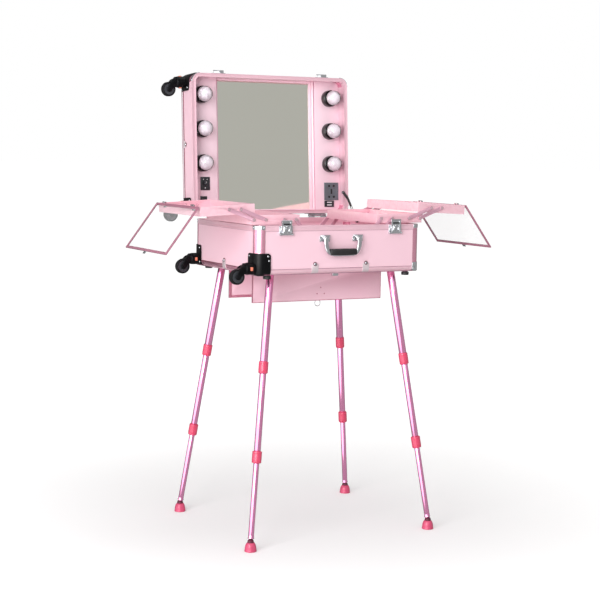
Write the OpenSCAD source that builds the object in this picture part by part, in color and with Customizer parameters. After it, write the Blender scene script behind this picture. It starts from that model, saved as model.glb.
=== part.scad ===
// Rolling make-up case with a lighted mirror, opened out and standing on its own legs.
// Millimetres, +Z up, the floor is z = 0. The case faces -Y, and its wheels are on the -X side.

/* [Case] */
// Width of the closed case
case_w = 528; // [440:4:620]
// Depth of the closed case, front to back
case_d = 420; // [360:2:460]
// Height of the base from its underside to the rim
base_h = 136; // [120:1:170]
// Depth of the lid from its rim to its back
lid_depth = 85; // [80:1:110]
// Height of the underside of the base above the floor
stand_h = 760; // [680:5:820]
// How far the open lid leans back
lid_lean = 3.6; // [0:0.1:8]

/* [Boards and profiles] */
// Thickness of the wall boards
board_t = 7; // [5:0.5:9]
// How far the aluminium profiles stand proud of the boards
profile_skin = 1; // [0.8:0.1:2]
// Width of the rim profile
rim_w = 11; // [10:0.5:14]
// Height of the rim profile
rim_h = 15; // [12:1:20]
// Radius of the four upright corners
corner_r = 25; // [18:1:30]
// Height of the bottom edge profile on the outside
edge_h = 14; // [10:1:18]
// Width of the bottom edge profile underneath
edge_w = 20; // [16:1:24]

/* [Lid hinge] */
// How far the hinge pin stands behind the case and above the rim
hinge_off = 6; // [4:0.5:8]
// Radius of the hinge pin
hinge_pin_r = 2; // [1.5:0.1:2.5]

/* [Leg compartments] */
// Distance of a compartment door's ends from the sides of the case
door_in = 52; // [48:1:70]
// Height of a hanging compartment door
door_h = 92; // [80:1:94]
// Thickness of a compartment door
door_t = 5; // [3:0.5:6]
// Distance of each door hinge from the front or back of the case
door_hinge_in = 133; // [128:1:140]
// Inside height of a compartment
bay_h = 44; // [36:1:50]

/* [Legs] */
// Distance of each leg from the side of the case at its underside
leg_inset_x = 68; // [56:1:76]
// Distance of each leg from the front or back of the case at its underside
leg_inset_y = 52; // [48:1:58]
// Half the spread of the feet, left to right
foot_x = 290; // [250:1:320]
// Half the spread of the feet, front to back
foot_y = 246; // [210:1:270]
// Outside radius of the upper leg tube
leg_r1 = 11; // [10:0.1:12]
// Outside radius of the middle leg tube
leg_r2 = 9.5; // [8.5:0.1:9.8]
// Outside radius of the lower leg tube
leg_r3 = 8; // [6.5:0.1:8.2]
// Wall of the leg tubes
leg_wall = 1.2; // [0.8:0.1:1.2]
// Length of a twist collar
collar_h = 33; // [28:1:40]
// Radius of a twist collar
collar_r = 13.5; // [12.5:0.5:16]
// Radius of a rubber foot
foot_r = 17; // [14:0.5:20]
// Height of the bell of a rubber foot
foot_h = 25; // [20:1:30]
// Radius of the ball at the end of a leg
ball_r = 9.5; // [9:0.1:11]

/* [Trays] */
// Depth of the trays, front to back
tray_d = 294; // [260:2:300]
// Height of the trays
tray_h = 26.5; // [22:0.5:28]
// Thickness of the tray sheet
tray_t = 1.5; // [1:0.1:2]
// Width of a lower tray
lower_w = 151; // [140:1:160]
// Outer end of a lower tray beyond the side of the case
lower_over = 12; // [8:1:16]
// Gap between the rim and a lower tray
lower_lift = 3; // [2.5:0.5:6]
// Width of an upper tray
upper_w = 161; // [150:1:166]
// How much the outer end of an upper tray droops
tray_droop = 3; // [0:0.5:3]
// Thickness of the tray arms
arm_t = 2; // [1.5:0.1:2.2]
// Width of the tray arms
arm_w = 10.5; // [9:0.5:11]
// Radius of the arm rivets
rivet_r = 2; // [1.5:0.1:2.5]
// Length of a lower arm between its rivets
lower_arm = 68; // [60:1:74]
// Angle of the lower arms above level
lower_angle = 50; // [46:1:56]
// Length of an upper arm between its rivets
upper_arm = 80.8; // [76:0.2:86]
// Angle of the upper arms above level
upper_angle = 20.9; // [19:0.1:24]
// Distance between the two arms of a pair
arm_pitch = 36; // [32:1:38]
// Distance from a lower tray's inner end to its first rivet
lower_rivet_in = 13; // [10:1:20]

/* [Clear covers] */
// Width of a clear tray cover, hinge to free edge
cover_w = 158; // [140:1:160]
// Thickness of the cover's frame
cover_t = 4; // [3:0.5:5]
// Width of the cover's frame bars
cover_bar = 5; // [4:0.5:8]
// Thickness of the clear sheet
sheet_t = 1.5; // [1:0.1:2.5]
// How far below the tray's plane an open cover hangs
cover_hang = 50; // [40:1:60]

/* [Mirror and lamps] */
// Depth of the lamp boards behind the rim
lamp_y = 42; // [36:1:48]
// Width of a lamp board, from the side of the lid
lamp_board_w = 96; // [88:1:110]
// Thickness of the lamp boards
lamp_t = 2.5; // [1.5:0.5:4]
// Depth of the mirror's face behind the rim
mirror_y = 60; // [54:1:66]
// Thickness of the mirror
mirror_t = 4; // [3:0.5:6]
// Width of the trim round the mirror
trim_w = 11; // [6:1:16]
// Distance of the lamp columns from the sides of the lid
lamp_in = 44; // [41:1:56]
// Height of the lowest lamp above the lid's lower edge
lamp_z0 = 154; // [136:1:160]
// Distance of the highest lamp from the lid's top edge
lamp_top = 61; // [46:1:72]
// Radius of a lamp socket
socket_r = 26; // [22:0.5:28]
// Height of a lamp socket
socket_h = 20; // [12:0.5:24]
// Radius of a bulb's globe
globe_r = 23; // [18:0.5:24]
// Width of the mains outlet
outlet_w = 50; // [44:1:54]
// Height of the mains outlet
outlet_h = 55; // [48:1:58]
// Width of the dimmer's plate
dimmer_w = 31; // [26:1:36]
// Height of the dimmer's plate
dimmer_h = 40; // [34:1:44]
// Width of the mains inlet
inlet_w = 22; // [18:1:24]
// Height of the mains inlet
inlet_h = 16; // [14:1:18]
// Width of the plate with the charging ports
ports_w = 34; // [30:1:40]
// Height of the plate with the charging ports
ports_h = 20; // [16:1:20]

/* [Handle and latches] */
// Distance of each handle mount from the middle
handle_x = 53; // [46:1:60]
// Height of the handle's pivot below the rim
handle_drop = 39; // [32:1:48]
// Distance of the handle's pivot from the front of the case
handle_out = 12; // [11:0.5:16]
// Distance from the pivot to the middle of the grip
grip_drop = 36; // [30:1:42]
// Radius of the grip
grip_r = 9; // [7:0.5:10]
// Half the length of the grip
grip_half = 42; // [34:1:44]
// Distance of each latch from the sides of the case
latch_in = 88; // [70:1:110]
// Width of a latch
latch_w = 42; // [34:1:48]

/* [Casters] */
// Length of a caster bracket along the case's corner
caster_len = 60; // [50:1:64]
// Reach of a caster bracket on the front, back, top or bottom face
caster_wrap = 42; // [36:1:46]
// Reach of a caster bracket on the wheel side
caster_side = 50; // [46:1:54]
// Thickness of a caster bracket
caster_t = 3; // [2:0.5:4]
// Distance of the swivel axis from the nearest long edge of the case
caster_in = 23; // [20:1:26]
// Distance of the swivel axis from the closed end of the case
caster_up = 18; // [17:1:24]
// Radius of a caster wheel
wheel_r = 21.5; // [18:0.5:22]
// Width of a caster wheel
wheel_w = 16; // [12:1:18]
// Distance of the wheel's axle outside the case
wheel_out = 49; // [47:1:54]
// Distance of the wheel's axle below the swivel axis
wheel_drop = 22; // [18:1:24]

/* [Hidden] */
$fn = 48;

// Clearances
run_gap = 0.08;  // radial, a pin or tube that turns or slides in a bore
part_gap = 1;    // between flat moving parts
seat_gap = 0.3;  // between parts that rest by each other
eps = 0.01;

// Colours
panel_pink = "#f4cbd8";
profile_pink = "#e3a9bb";
chrome_grey = "#c9ccd0";
black_plastic = "#1c1c1f";
leg_pink = "#d86fa6";
collar_pink = "#e0436a";
board_pink = "#fbdde6";
tray_pink = "#efafc3";
arm_pink = "#d795ad";
cover_mauve = "#83394f";

// The case
inner_wall = profile_skin + board_t;
rim_z = stand_h + base_h;
floor_t = 4;
bottom_t = 5;
bottom_z = stand_h + 4;
bay_wall = 3;
door_half_w = case_w / 2 - door_in;
door_hinge_y = case_d / 2 - door_hinge_in;
bay_edge_y = door_hinge_y + 3;
bay_far_y = door_hinge_y + door_h + 4;
bay_half_w = door_half_w + 3;
floor_z = bottom_z + bay_h + bay_wall;

// The open lid: its own frame has x across, y into the lid from the rim and z up from its lower edge
pin_y = case_d / 2 + hinge_off;
pin_z = rim_z + hinge_off;
edge_r = 12;
lid_top_y = (lid_depth - edge_r) * cos(lid_lean) + (case_d - edge_r) * sin(lid_lean) + edge_r + caster_t;
// The origin is the middle of the whole open case seen from above
back_y = pin_y - hinge_off * cos(lid_lean) + hinge_off * sin(lid_lean) + lid_top_y;
front_y = -foot_y - foot_r;
case_y = -(back_y + front_y) / 2;

// Legs: one straight line from the compartment to the ball of the foot
ball_z = foot_h + 1;
leg_top_x = case_w / 2 - leg_inset_x;
leg_top_y = case_d / 2 - leg_inset_y;
leg_dx = foot_x - leg_top_x;
leg_dy = foot_y - leg_top_y;
leg_dz = stand_h - ball_z;
leg_len = norm([leg_dx, leg_dy, leg_dz]);
leg_tilt = acos(leg_dz / leg_len);
collar1_s = leg_len * 0.33;
collar2_s = leg_len * 0.664;
socket_s = 4 - bay_h;
tube_overlap = 45;

// Trays, drawn for the +X side
tray_front = -case_d / 2 + inner_wall + 7;
tray_back = tray_front + tray_d;
arm_y = tray_front - part_gap - arm_t;
ear_t = 2;
ear_y = arm_y - part_gap - ear_t;
lower_x1 = case_w / 2 + lower_over;
lower_x0 = lower_x1 - lower_w;
lower_z = rim_z + lower_lift;
rivet_z = lower_z + tray_h / 2;
low_rivet_x = lower_x0 + lower_rivet_in;
case_rivet_x = low_rivet_x - lower_arm * cos(lower_angle);
case_rivet_z = rivet_z - lower_arm * sin(lower_angle);
up_base_x = lower_x1 - 8 - arm_pitch;
up_rivet_x = up_base_x + upper_arm * cos(upper_angle);
up_rivet_z = rivet_z + upper_arm * sin(upper_angle);
upper_in = 43;
upper_rise = arm_pitch * sin(tray_droop) / 2;
head_r = rivet_r + 2.6;
head_t = 0.7;

// Clear cover hinge, in the upper tray's own frame (x from its inner end, z from its bottom)
cover_pin_r = 1.5;
cover_axis_x = upper_w + 2.5;
cover_axis_z = tray_h + cover_t / 2 + 0.6;
cover_gap = 3.4;
cover_len = tray_d - 2;
clip_y = 48;

module case_outline(grow = 0) {
    w = case_w + 2 * grow;
    d = case_d + 2 * grow;
    r = corner_r + grow;
    square([w - 2 * r, d], center = true);
    square([w, d - 2 * r], center = true);
    for (x = [-1, 1], y = [-1, 1])
        translate([x * (w / 2 - r), y * (d / 2 - r)]) circle(r);
}

// Side view of the closed end of a box of height h: flat back, two rounded edges, grown by t
module side_shape(w, h, t) {
    translate([-w / 2 - t, edge_r]) square([w + 2 * t, h - edge_r]);
    translate([-w / 2 + edge_r, -t]) square([w - 2 * edge_r, h + t]);
    for (s = [-1, 1]) translate([s * (w / 2 - edge_r), edge_r]) circle(edge_r + t);
}

// The outside form of a box of height h standing on its rounded closed end, grown by t
module case_block(h, t = 0) {
    intersection() {
        translate([0, 0, -t]) linear_extrude(h + t) case_outline(t);
        rotate([90, 0, 90]) linear_extrude(case_w + 20, center = true) side_shape(case_d, h, t);
        rotate([90, 0, 0]) linear_extrude(case_d + 20, center = true) side_shape(case_w, h, t);
    }
}

// A flat plate that fills a box between its wall boards, clear of the corner posts
module inner_outline() {
    case_outline(-inner_wall - 1);
    square([case_w - 2 * inner_wall, case_d - 2 * corner_r - 4], center = true);
    square([case_w - 2 * corner_r - 4, case_d - 2 * inner_wall], center = true);
}

// A flat bar with round ends from point a to point b
module bar_shape(a, b, r) {
    d = b - a;
    translate(a) circle(r);
    translate(b) circle(r);
    translate(a) rotate(atan2(d[1], d[0])) translate([0, -r]) square([norm(d), 2 * r]);
}

module at_case(z = 0) {
    translate([0, case_y, z]) children();
}

// Puts a piece drawn in the open lid's frame where the lid stands
module in_lid() {
    translate([0, case_y + pin_y, pin_z]) rotate([-lid_lean, 0, 0])
        translate([0, -hinge_off, hinge_off]) children();
}

// Turns a box drawn rim up into the lid's frame, rim to the front
module lid_box() {
    in_lid() translate([0, lid_depth, case_d / 2]) rotate([90, 0, 0]) children();
}

// The four flat wall boards of a box of height h, rim up, standing on z = 0
module wall_boards(h) {
    z0 = edge_h - 4;
    slot = corner_r - 5;
    for (s = [-1, 1]) {
        translate([-case_w / 2 + slot, s * (case_d / 2 - inner_wall / 2 - profile_skin / 2) - board_t / 2, z0])
            cube([case_w - 2 * slot, board_t, h - z0 - 3]);
        translate([s * (case_w / 2 - inner_wall / 2 - profile_skin / 2) - board_t / 2, -case_d / 2 + slot, z0])
            cube([board_t, case_d - 2 * slot, h - z0 - 3]);
    }
}

// The aluminium skeleton of the same box: rim channel, four quarter-round posts and a bottom edge ring
module profile_frame(h) {
    difference() {
        intersection() {
            case_block(h);
            frame_bars(h);
        }
        wall_boards(h);
    }
}

module frame_bars(h) {
    translate([0, 0, h - rim_h]) linear_extrude(rim_h) difference() {
        case_outline();
        case_outline(-rim_w);
    }
    linear_extrude(edge_h) difference() {
        case_outline();
        case_outline(-inner_wall - 1);
    }
    linear_extrude(4) difference() {
        case_outline();
        case_outline(-edge_w);
    }
    for (x = [-1, 1], y = [-1, 1])
        linear_extrude(h - 1) intersection() {
            difference() {
                case_outline();
                case_outline(-inner_wall - 1);
            }
            translate([x * (case_w / 2 - corner_r / 2), y * (case_d / 2 - corner_r / 2)])
                square(corner_r, center = true);
        }
}

module base_walls() {
    color(panel_pink) at_case(stand_h) wall_boards(base_h);
}

module base_frame() {
    color(profile_pink) at_case(stand_h) profile_frame(base_h);
}

// The underside board, with one opening for each pair of stored legs
module base_bottom() {
    color(panel_pink) at_case(bottom_z) difference() {
        linear_extrude(bottom_t) case_outline(-inner_wall - 1);
        for (s = [-1, 1])
            translate([-bay_half_w, s > 0 ? bay_edge_y : -bay_far_y, -1])
                cube([2 * bay_half_w, bay_far_y - bay_edge_y, bottom_t + 2]);
    }
}

// The case's inner floor with the two leg compartments hanging under it
module case_floor() {
    h = floor_z - bottom_z - bottom_t;
    color(panel_pink) at_case() {
        translate([0, 0, floor_z]) linear_extrude(floor_t) inner_outline();
        for (s = [-1, 1]) translate([0, s * (bay_edge_y + bay_far_y) / 2, bottom_z + bottom_t])
            difference() {
                translate([0, 0, h / 2])
                    cube([2 * bay_half_w + 2 * bay_wall, bay_far_y - bay_edge_y + 2 * bay_wall, h], center = true);
                translate([0, 0, (h - bay_wall) / 2 - 1])
                    cube([2 * bay_half_w, bay_far_y - bay_edge_y, h - bay_wall + 2], center = true);
            }
    }
}

cap_t = 1.2;

// A skin of thickness t over a box of height h, kept only where the children are
module skin_over(h, t) {
    intersection() {
        difference() {
            case_block(h, t);
            case_block(h);
        }
        union() children();
    }
}

// The region of one upright corner of the outline, reaching rx and ry along the two faces, z0 to z1
module corner_region(x, y, rx, ry, z0, z1) {
    translate([x * (case_w / 2 + 10 - rx / 2), y * (case_d / 2 + 10 - ry / 2), (z0 + z1) / 2])
        cube([rx + 20 - eps, ry + 20 - eps, z1 - z0], center = true);
}

clip_w = 21;
clip_x = 82;

// Chrome skins over the rim corners and profile clips, the same on the base and on the lid
module box_caps(h) {
    skin_over(h, cap_t) {
        for (x = [-1, 1], y = [-1, 1])
            corner_region(x, y, corner_r, corner_r, h - 11, h);
        for (y = [-1, 1])
            corner_region(1, y, corner_r + 2, corner_r + 2, -5, 26);
        for (x = [-1, 1] * clip_x)
            translate([x, 0, 10]) cube([clip_w, case_d + 20, 34], center = true);
        translate([0, 0, 10]) cube([case_w + 20, clip_w, 34], center = true);
    }
}

// Keeps the clips off the middle of the underside
module clip_core(h) {
    translate([0, 0, h / 2]) cube([case_w - 40, case_d - 40, h + 40], center = true);
}

module base_corners() {
    color(chrome_grey) at_case(stand_h) difference() {
        box_caps(base_h);
        clip_core(base_h);
    }
}

handle_z = rim_z - handle_drop;
handle_y = -case_d / 2 - handle_out;
mount_w = 33;
ear_half = 4.4;
latch_x = case_w / 2 - latch_in;
latch_z = rim_z - 24;
latch_pin_y = -case_d / 2 - 5;
latch_pin_r = 1.5;
catch_y = door_hinge_y + door_h + 8;

// Chrome parts screwed to the base: handle mounts, latch plates and the two door catches underneath
module base_hardware() {
    color(chrome_grey) at_case() {
        for (s = [-1, 1]) {
            translate([s * handle_x, 0, handle_z]) difference() {
                union() {
                    translate([-mount_w / 2, -case_d / 2 - 1.5, -7]) cube([mount_w, 2.5, 17]);
                    for (e = [-ear_half - 3, ear_half])
                        translate([e, handle_y, -5]) cube([3, handle_out + eps, 10]);
                    for (e = [-ear_half - 3, ear_half])
                        translate([e, handle_y, 0]) rotate([0, 90, 0]) cylinder(r = 5, h = 3);
                    translate([-mount_w / 2 + 4, -case_d / 2 - 8, 6.4]) cube([mount_w - 8, 8, 3]);
                }
                translate([-20, handle_y, 0]) rotate([0, 90, 0]) cylinder(r = 2.5 + run_gap, h = 40);
            }
            translate([s * latch_x, 0, latch_z]) {
                translate([-latch_w / 2, -case_d / 2 - 1.4, -2]) cube([latch_w, 1.4, 25]);
                translate([-latch_w / 2, -case_d / 2 - 0.5, -2])
                    cube([latch_w, profile_skin + 0.5, rim_z - rim_h - latch_z + 1.5]);
                for (e = [-latch_w / 2, latch_w / 2 - 4])
                    translate([e, latch_pin_y, 0]) rotate([0, 90, 0]) cylinder(r = 3, h = 4);
                for (e = [-latch_w / 2, latch_w / 2 - 4])
                    translate([e, latch_pin_y, -3]) cube([4, 5, 6]);
                translate([-latch_w / 2, latch_pin_y, 0]) rotate([0, 90, 0]) cylinder(r = latch_pin_r, h = latch_w);
            }
            translate([-9, s * catch_y - 4, bottom_z - 14]) cube([18, 8, 14]);
        }
        translate([stay_x - 3, stay_stud[0], stay_stud[1]]) rotate([0, 90, 0])
            cylinder(r = stud_r, h = case_w / 2 - rim_w - stay_x + 3);
        translate([stay_x - 3, stay_stud[0], stay_stud[1]]) rotate([0, 90, 0]) cylinder(r = stud_r + 2.5, h = 1.2);
    }
}

pad_r = 11;
pad_h = 12;
pad_x = case_w / 2 - 40;
pad_y = case_d / 2 - 16;

module rubber_feet() {
    color(black_plastic) at_case(stand_h - pad_h) for (x = [-1, 1], y = [-1, 1])
        translate([x * pad_x, y * pad_y, 0]) {
            cylinder(r = pad_r, h = pad_h - 3);
            cylinder(r = pad_r - 3, h = pad_h);
        }
}

hinge_w = 60;
hinge_x = case_w / 2 - 110;
leaf_t = 1.6;

// Base half of the lid hinges: leaf on the rear wall, two knuckles and the pin; and the door hinges' fixed pins
module case_hinge() {
    color(chrome_grey) at_case(door_pin_z) for (x = [-0.7, 0.7] * door_half_w, y = [-1, 1])
        translate([x, y * door_hinge_y, 0]) {
            rotate([0, 90, 0]) cylinder(r = door_pin_r, h = 44, center = true);
            for (e = [-22, 16]) {
                translate([e, 0, 0]) rotate([0, 90, 0]) cylinder(r = 2.3, h = 6);
                translate([e, -1.5, 0]) cube([6, 3, bottom_z - door_pin_z]);
            }
        }
    color(chrome_grey) at_case() for (s = [-1, 1]) translate([s * hinge_x, 0, 0]) {
        translate([-hinge_w / 2, case_d / 2, pin_z - 34]) cube([hinge_w, leaf_t, 34 - hinge_off]);
        for (e = [-hinge_w / 2, hinge_w / 2 - 18]) {
            translate([e, pin_y, pin_z]) rotate([0, 90, 0]) cylinder(r = 4.5, h = 18);
            translate([e, case_d / 2, pin_z - 10]) cube([18, hinge_off, 7]);
        }
        translate([-hinge_w / 2, pin_y, pin_z]) rotate([0, 90, 0]) cylinder(r = hinge_pin_r, h = hinge_w);
    }
}

hub_h = 20;
hub_r = 17;
stem_r = 5;

// Caster bracket: a thick cap over the corner y = -1 or 1 of the wheel side, with the swivel's hub
module caster_bracket(h, y) {
    hub_at = [-case_w / 2, y * (case_d / 2 - caster_in), caster_up];
    difference() {
        union() {
            skin_over(h, caster_t) corner_region(-1, y, caster_wrap, caster_side, -caster_t - 1, caster_len);
            translate(hub_at) rotate([0, -90, 0]) cylinder(r = hub_r, h = hub_h);
        }
        translate(hub_at) rotate([0, -90, 0]) translate([0, 0, 1.5]) cylinder(r = stem_r + run_gap, h = hub_h);
        translate([-pad_x, y * pad_y, -20]) cylinder(r = pad_r + 1, h = 21);
    }
}

module base_caster_brackets() {
    color(black_plastic) at_case(stand_h) for (y = [-1, 1]) caster_bracket(base_h, y);
}

module lid_caster_brackets() {
    color(black_plastic) lid_box() for (y = [-1, 1]) caster_bracket(lid_depth, y);
}

// Where each swivel axis crosses the outer face of its hub
fork_face = case_w / 2 + hub_h;
function lid_y(y, z) = pin_y + (y - hinge_off) * cos(lid_lean) + (z + hinge_off) * sin(lid_lean);
function lid_z(y, z) = pin_z - (y - hinge_off) * sin(lid_lean) + (z + hinge_off) * cos(lid_lean);
lid_caster_y = lid_depth - caster_up;
caster_spots = [
    [-case_d / 2 + caster_in, stand_h + caster_up],
    [case_d / 2 - caster_in, stand_h + caster_up],
    [lid_y(lid_caster_y, case_d - caster_in), lid_z(lid_caster_y, case_d - caster_in)],
    [lid_y(lid_caster_y, caster_in), lid_z(lid_caster_y, caster_in)]];

cheek_t = 3.5;
axle_r = 3;

module at_caster(i) {
    at_case() translate([-fork_face, caster_spots[i][0], caster_spots[i][1]]) children();
}

// Swivel fork: stem in the hub, round cap, two cheeks down to the axle
module caster_fork(i) {
    reach = wheel_out - hub_h;
    color(black_plastic) at_caster(i) {
        translate([-seat_gap - eps, 0, 0]) rotate([0, 90, 0]) cylinder(r = stem_r, h = hub_h - 2);
        translate([-seat_gap, 0, 0]) rotate([0, -90, 0]) cylinder(r = hub_r - 1, h = 5);
        for (s = [-1, 1]) translate([0, s * (wheel_w / 2 + 1 + cheek_t / 2), 0])
            rotate([90, 0, 0]) linear_extrude(cheek_t, center = true) hull() {
                translate([-seat_gap - 2.5, 8]) circle(2);
                translate([-seat_gap - 2.5, -8]) circle(2);
                translate([-reach, -wheel_drop]) circle(7);
            }
        translate([-reach, 0, -wheel_drop]) rotate([90, 0, 0])
            cylinder(r = axle_r, h = wheel_w + 2 + 2 * cheek_t, center = true);
    }
}

module caster_wheel(i) {
    color(black_plastic) at_caster(i) translate([hub_h - wheel_out, 0, -wheel_drop]) rotate([90, 0, 0])
        difference() {
            cylinder(r = wheel_r, h = wheel_w, center = true);
            cylinder(r = axle_r + run_gap, h = wheel_w + 2, center = true);
            for (s = [-1, 1]) translate([0, 0, s * wheel_w / 2]) difference() {
                cylinder(r = wheel_r - 5, h = 5, center = true);
                cylinder(r = 7, h = 6, center = true);
            }
        }
}

// Puts a piece drawn along a leg, s running down from the underside, on the leg x = -1 or 1, y = -1 or 1
module on_leg(x, y) {
    at_case() translate([x * leg_top_x, y * leg_top_y, stand_h])
        rotate([0, 0, atan2(y * leg_dy, x * leg_dx)]) rotate([0, 180 - leg_tilt, 0]) children();
}

module leg_tube(r, s0, s1) {
    translate([0, 0, s0]) difference() {
        cylinder(r = r, h = s1 - s0);
        translate([0, 0, -1]) cylinder(r = r - leg_wall, h = s1 - s0 + 2);
    }
}

// Twist collar round the end of a tube of radius outer_r, gripping the tube inner_r that slides in it
module leg_collar(s, outer_r, inner_r) {
    translate([0, 0, s]) difference() {
        union() {
            translate([0, 0, 2]) cylinder(r = collar_r, h = collar_h - 4);
            cylinder(r = collar_r - 1.5, h = collar_h);
        }
        translate([0, 0, -1]) cylinder(r = outer_r, h = collar_h - 4);
        cylinder(r = inner_r + run_gap, h = collar_h + 1);
    }
}

// Fixed upper section of each leg: screwed socket in the compartment, tube and first collar
module leg_upper_sections() {
    for (x = [-1, 1], y = [-1, 1]) on_leg(x, y) {
        color(leg_pink) leg_tube(leg_r1, socket_s + 3, collar1_s + collar_h - 5);
        color(collar_pink) leg_collar(collar1_s, leg_r1, leg_r2);
        color(chrome_grey) translate([0, 0, socket_s]) difference() {
            cylinder(r = leg_r1 + 3, h = 24);
            translate([0, 0, 3]) cylinder(r = leg_r1, h = 24);
        }
    }
    pad_z = stand_h - socket_s * cos(leg_tilt) - 0.5;
    for (x = [-1, 1], y = [-1, 1])
        color(chrome_grey) at_case(pad_z)
            translate([x * (leg_top_x + socket_s * leg_dx / leg_len), y * (leg_top_y + socket_s * leg_dy / leg_len), 0])
                cylinder(r = leg_r1, h = floor_z - bay_wall - pad_z);
}

module leg_middle(x, y) {
    on_leg(x, y) {
        color(leg_pink) leg_tube(leg_r2, collar1_s - tube_overlap + collar_h, collar2_s + collar_h - 5);
        color(collar_pink) leg_collar(collar2_s, leg_r2, leg_r3);
    }
}

tube_end_s = leg_len - ball_r + 1.5;

module leg_lower(x, y) {
    on_leg(x, y) color(leg_pink) {
        leg_tube(leg_r3, collar2_s - tube_overlap + collar_h, tube_end_s - 4);
        translate([0, 0, tube_end_s - 4]) cylinder(r = leg_r3 + 0.8, h = 4);
    }
    at_case() translate([x * foot_x, y * foot_y, 0]) color(collar_pink) difference() {
        union() {
            rotate_extrude() polygon([[0, 0], [foot_r, 0], [foot_r, foot_h * 0.2], [foot_r - 1, foot_h * 0.5],
                [foot_r - 2.6, foot_h * 0.75], [foot_r - 5, foot_h * 0.92], [foot_r - 7.4, foot_h], [0, foot_h]]);
            translate([0, 0, ball_z]) sphere(ball_r);
        }
        translate([0, 0, ball_z]) rotate([0, 0, atan2(y * leg_dy, x * leg_dx)]) rotate([0, -leg_tilt, 0])
            translate([0, 0, ball_r - 1.5]) cylinder(r = leg_r3 + 6, h = 20);
    }
}

door_pin_z = stand_h + 1.2;
door_pin_r = 1.5;

// Compartment door, hanging; y = -1 is the front one. Its hinge ears hold a pin along its top edge
module door(y) {
    at_case() translate([0, y * door_hinge_y, door_pin_z]) {
        color(panel_pink) translate([-door_half_w, -door_t / 2, -door_h]) cube([2 * door_half_w, door_t, door_h - 4]);
        color(chrome_grey) for (x = [-0.7, 0.7] * door_half_w) translate([x, 0, 0]) difference() {
            union() {
                rotate([0, 90, 0]) cylinder(r = 2.3, h = 30, center = true);
                translate([-15, -door_t / 2, -4]) cube([30, door_t, 4 - door_pin_r]);
            }
            rotate([0, 90, 0]) cylinder(r = door_pin_r + run_gap, h = 32, center = true);
        }
        color(chrome_grey) translate([-12, door_t / 2 * -y, -door_h + 2]) translate([0, y > 0 ? -1 : 0, 0])
            cube([24, 1, 18]);
        color(chrome_grey) translate([0, 0, -door_h - 7]) rotate([90, 0, 0]) rotate_extrude()
            translate([9, 0]) circle(1);
    }
}

// The lid's wall boards and back board
module lid_walls() {
    color(panel_pink) lid_box() {
        wall_boards(lid_depth);
        translate([0, 0, 4]) linear_extrude(bottom_t) case_outline(-inner_wall - 1);
    }
}

module lid_frame() {
    color(profile_pink) lid_box() profile_frame(lid_depth);
}

// Chrome on the lid: corner caps and clips, the hasps the latches close on, the hinge leaves and the stay's pivot
module lid_corners() {
    color(chrome_grey) {
        lid_box() difference() {
            box_caps(lid_depth);
            clip_core(lid_depth);
        }
        in_lid() {
            for (s = [-1, 1]) translate([s * latch_x, 0, case_d]) {
                translate([-latch_w / 2, 1, 0]) cube([latch_w, 22, 1.4]);
                translate([-latch_w / 2, rim_h + 0.5, -profile_skin]) cube([latch_w, 22.5 - rim_h, profile_skin + 0.5]);
                translate([-latch_w / 2 + 5, 3, 0]) cube([latch_w - 10, 2, 10]);
                translate([-latch_w / 2 + 5, 3, 8]) cube([latch_w - 10, 7, 2]);
            }
            for (s = [-1, 1]) translate([s * hinge_x, hinge_off, -hinge_off]) difference() {
                union() {
                    rotate([0, 90, 0]) cylinder(r = 4.5, h = hinge_w - 38, center = true);
                    translate([-hinge_w / 2 + 19, -3, 0]) cube([hinge_w - 38, 9, hinge_off]);
                    translate([-hinge_w / 2, 5.5, hinge_off - leaf_t]) cube([hinge_w, 22, leaf_t]);
                }
                rotate([0, 90, 0]) cylinder(r = hinge_pin_r + run_gap, h = hinge_w, center = true);
            }
            translate([stay_x - 3, stay_in, stay_up]) rotate([0, 90, 0])
                cylinder(r = stud_r, h = case_w / 2 - rim_w - stay_x + 3);
            translate([stay_x - 3, stay_in, stay_up]) rotate([0, 90, 0]) cylinder(r = stud_r + 1.8, h = 1.2);
        }
    }
}

// The slotted lid stay: it turns on the lid's stud and slides over the base's stud
stud_r = 2.5;
stay_t = 2;
stay_in = 6;
stay_up = 64;
stay_x = case_w / 2 - rim_w - 4.5;
stay_top = [lid_y(stay_in, stay_up), lid_z(stay_in, stay_up)];
stay_knee = stay_top - 35 * [cos(32), sin(32)];
stay_stud = [case_d / 2 - 76, rim_z - 8];
stay_run = (stay_stud - stay_knee) / norm(stay_stud - stay_knee);
stay_slide = 54;

module lid_stay() {
    color(black_plastic) at_case() translate([stay_x, 0, 0]) rotate([90, 0, 90]) linear_extrude(stay_t) difference() {
        union() {
            bar_shape(stay_top, stay_knee, 5);
            bar_shape(stay_knee, stay_stud + 3 * stay_run, 5);
        }
        translate(stay_top) circle(stud_r + run_gap);
        bar_shape(stay_stud + 0.6 * stay_run, stay_stud - stay_slide * stay_run, stud_r + 0.8);
    }
}

lamp_x = case_w / 2 - lamp_board_w;
board_z = lid_depth - lamp_y - lamp_t;
mirror_z = lid_depth - mirror_y - mirror_t;
back_t = 3;

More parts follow.
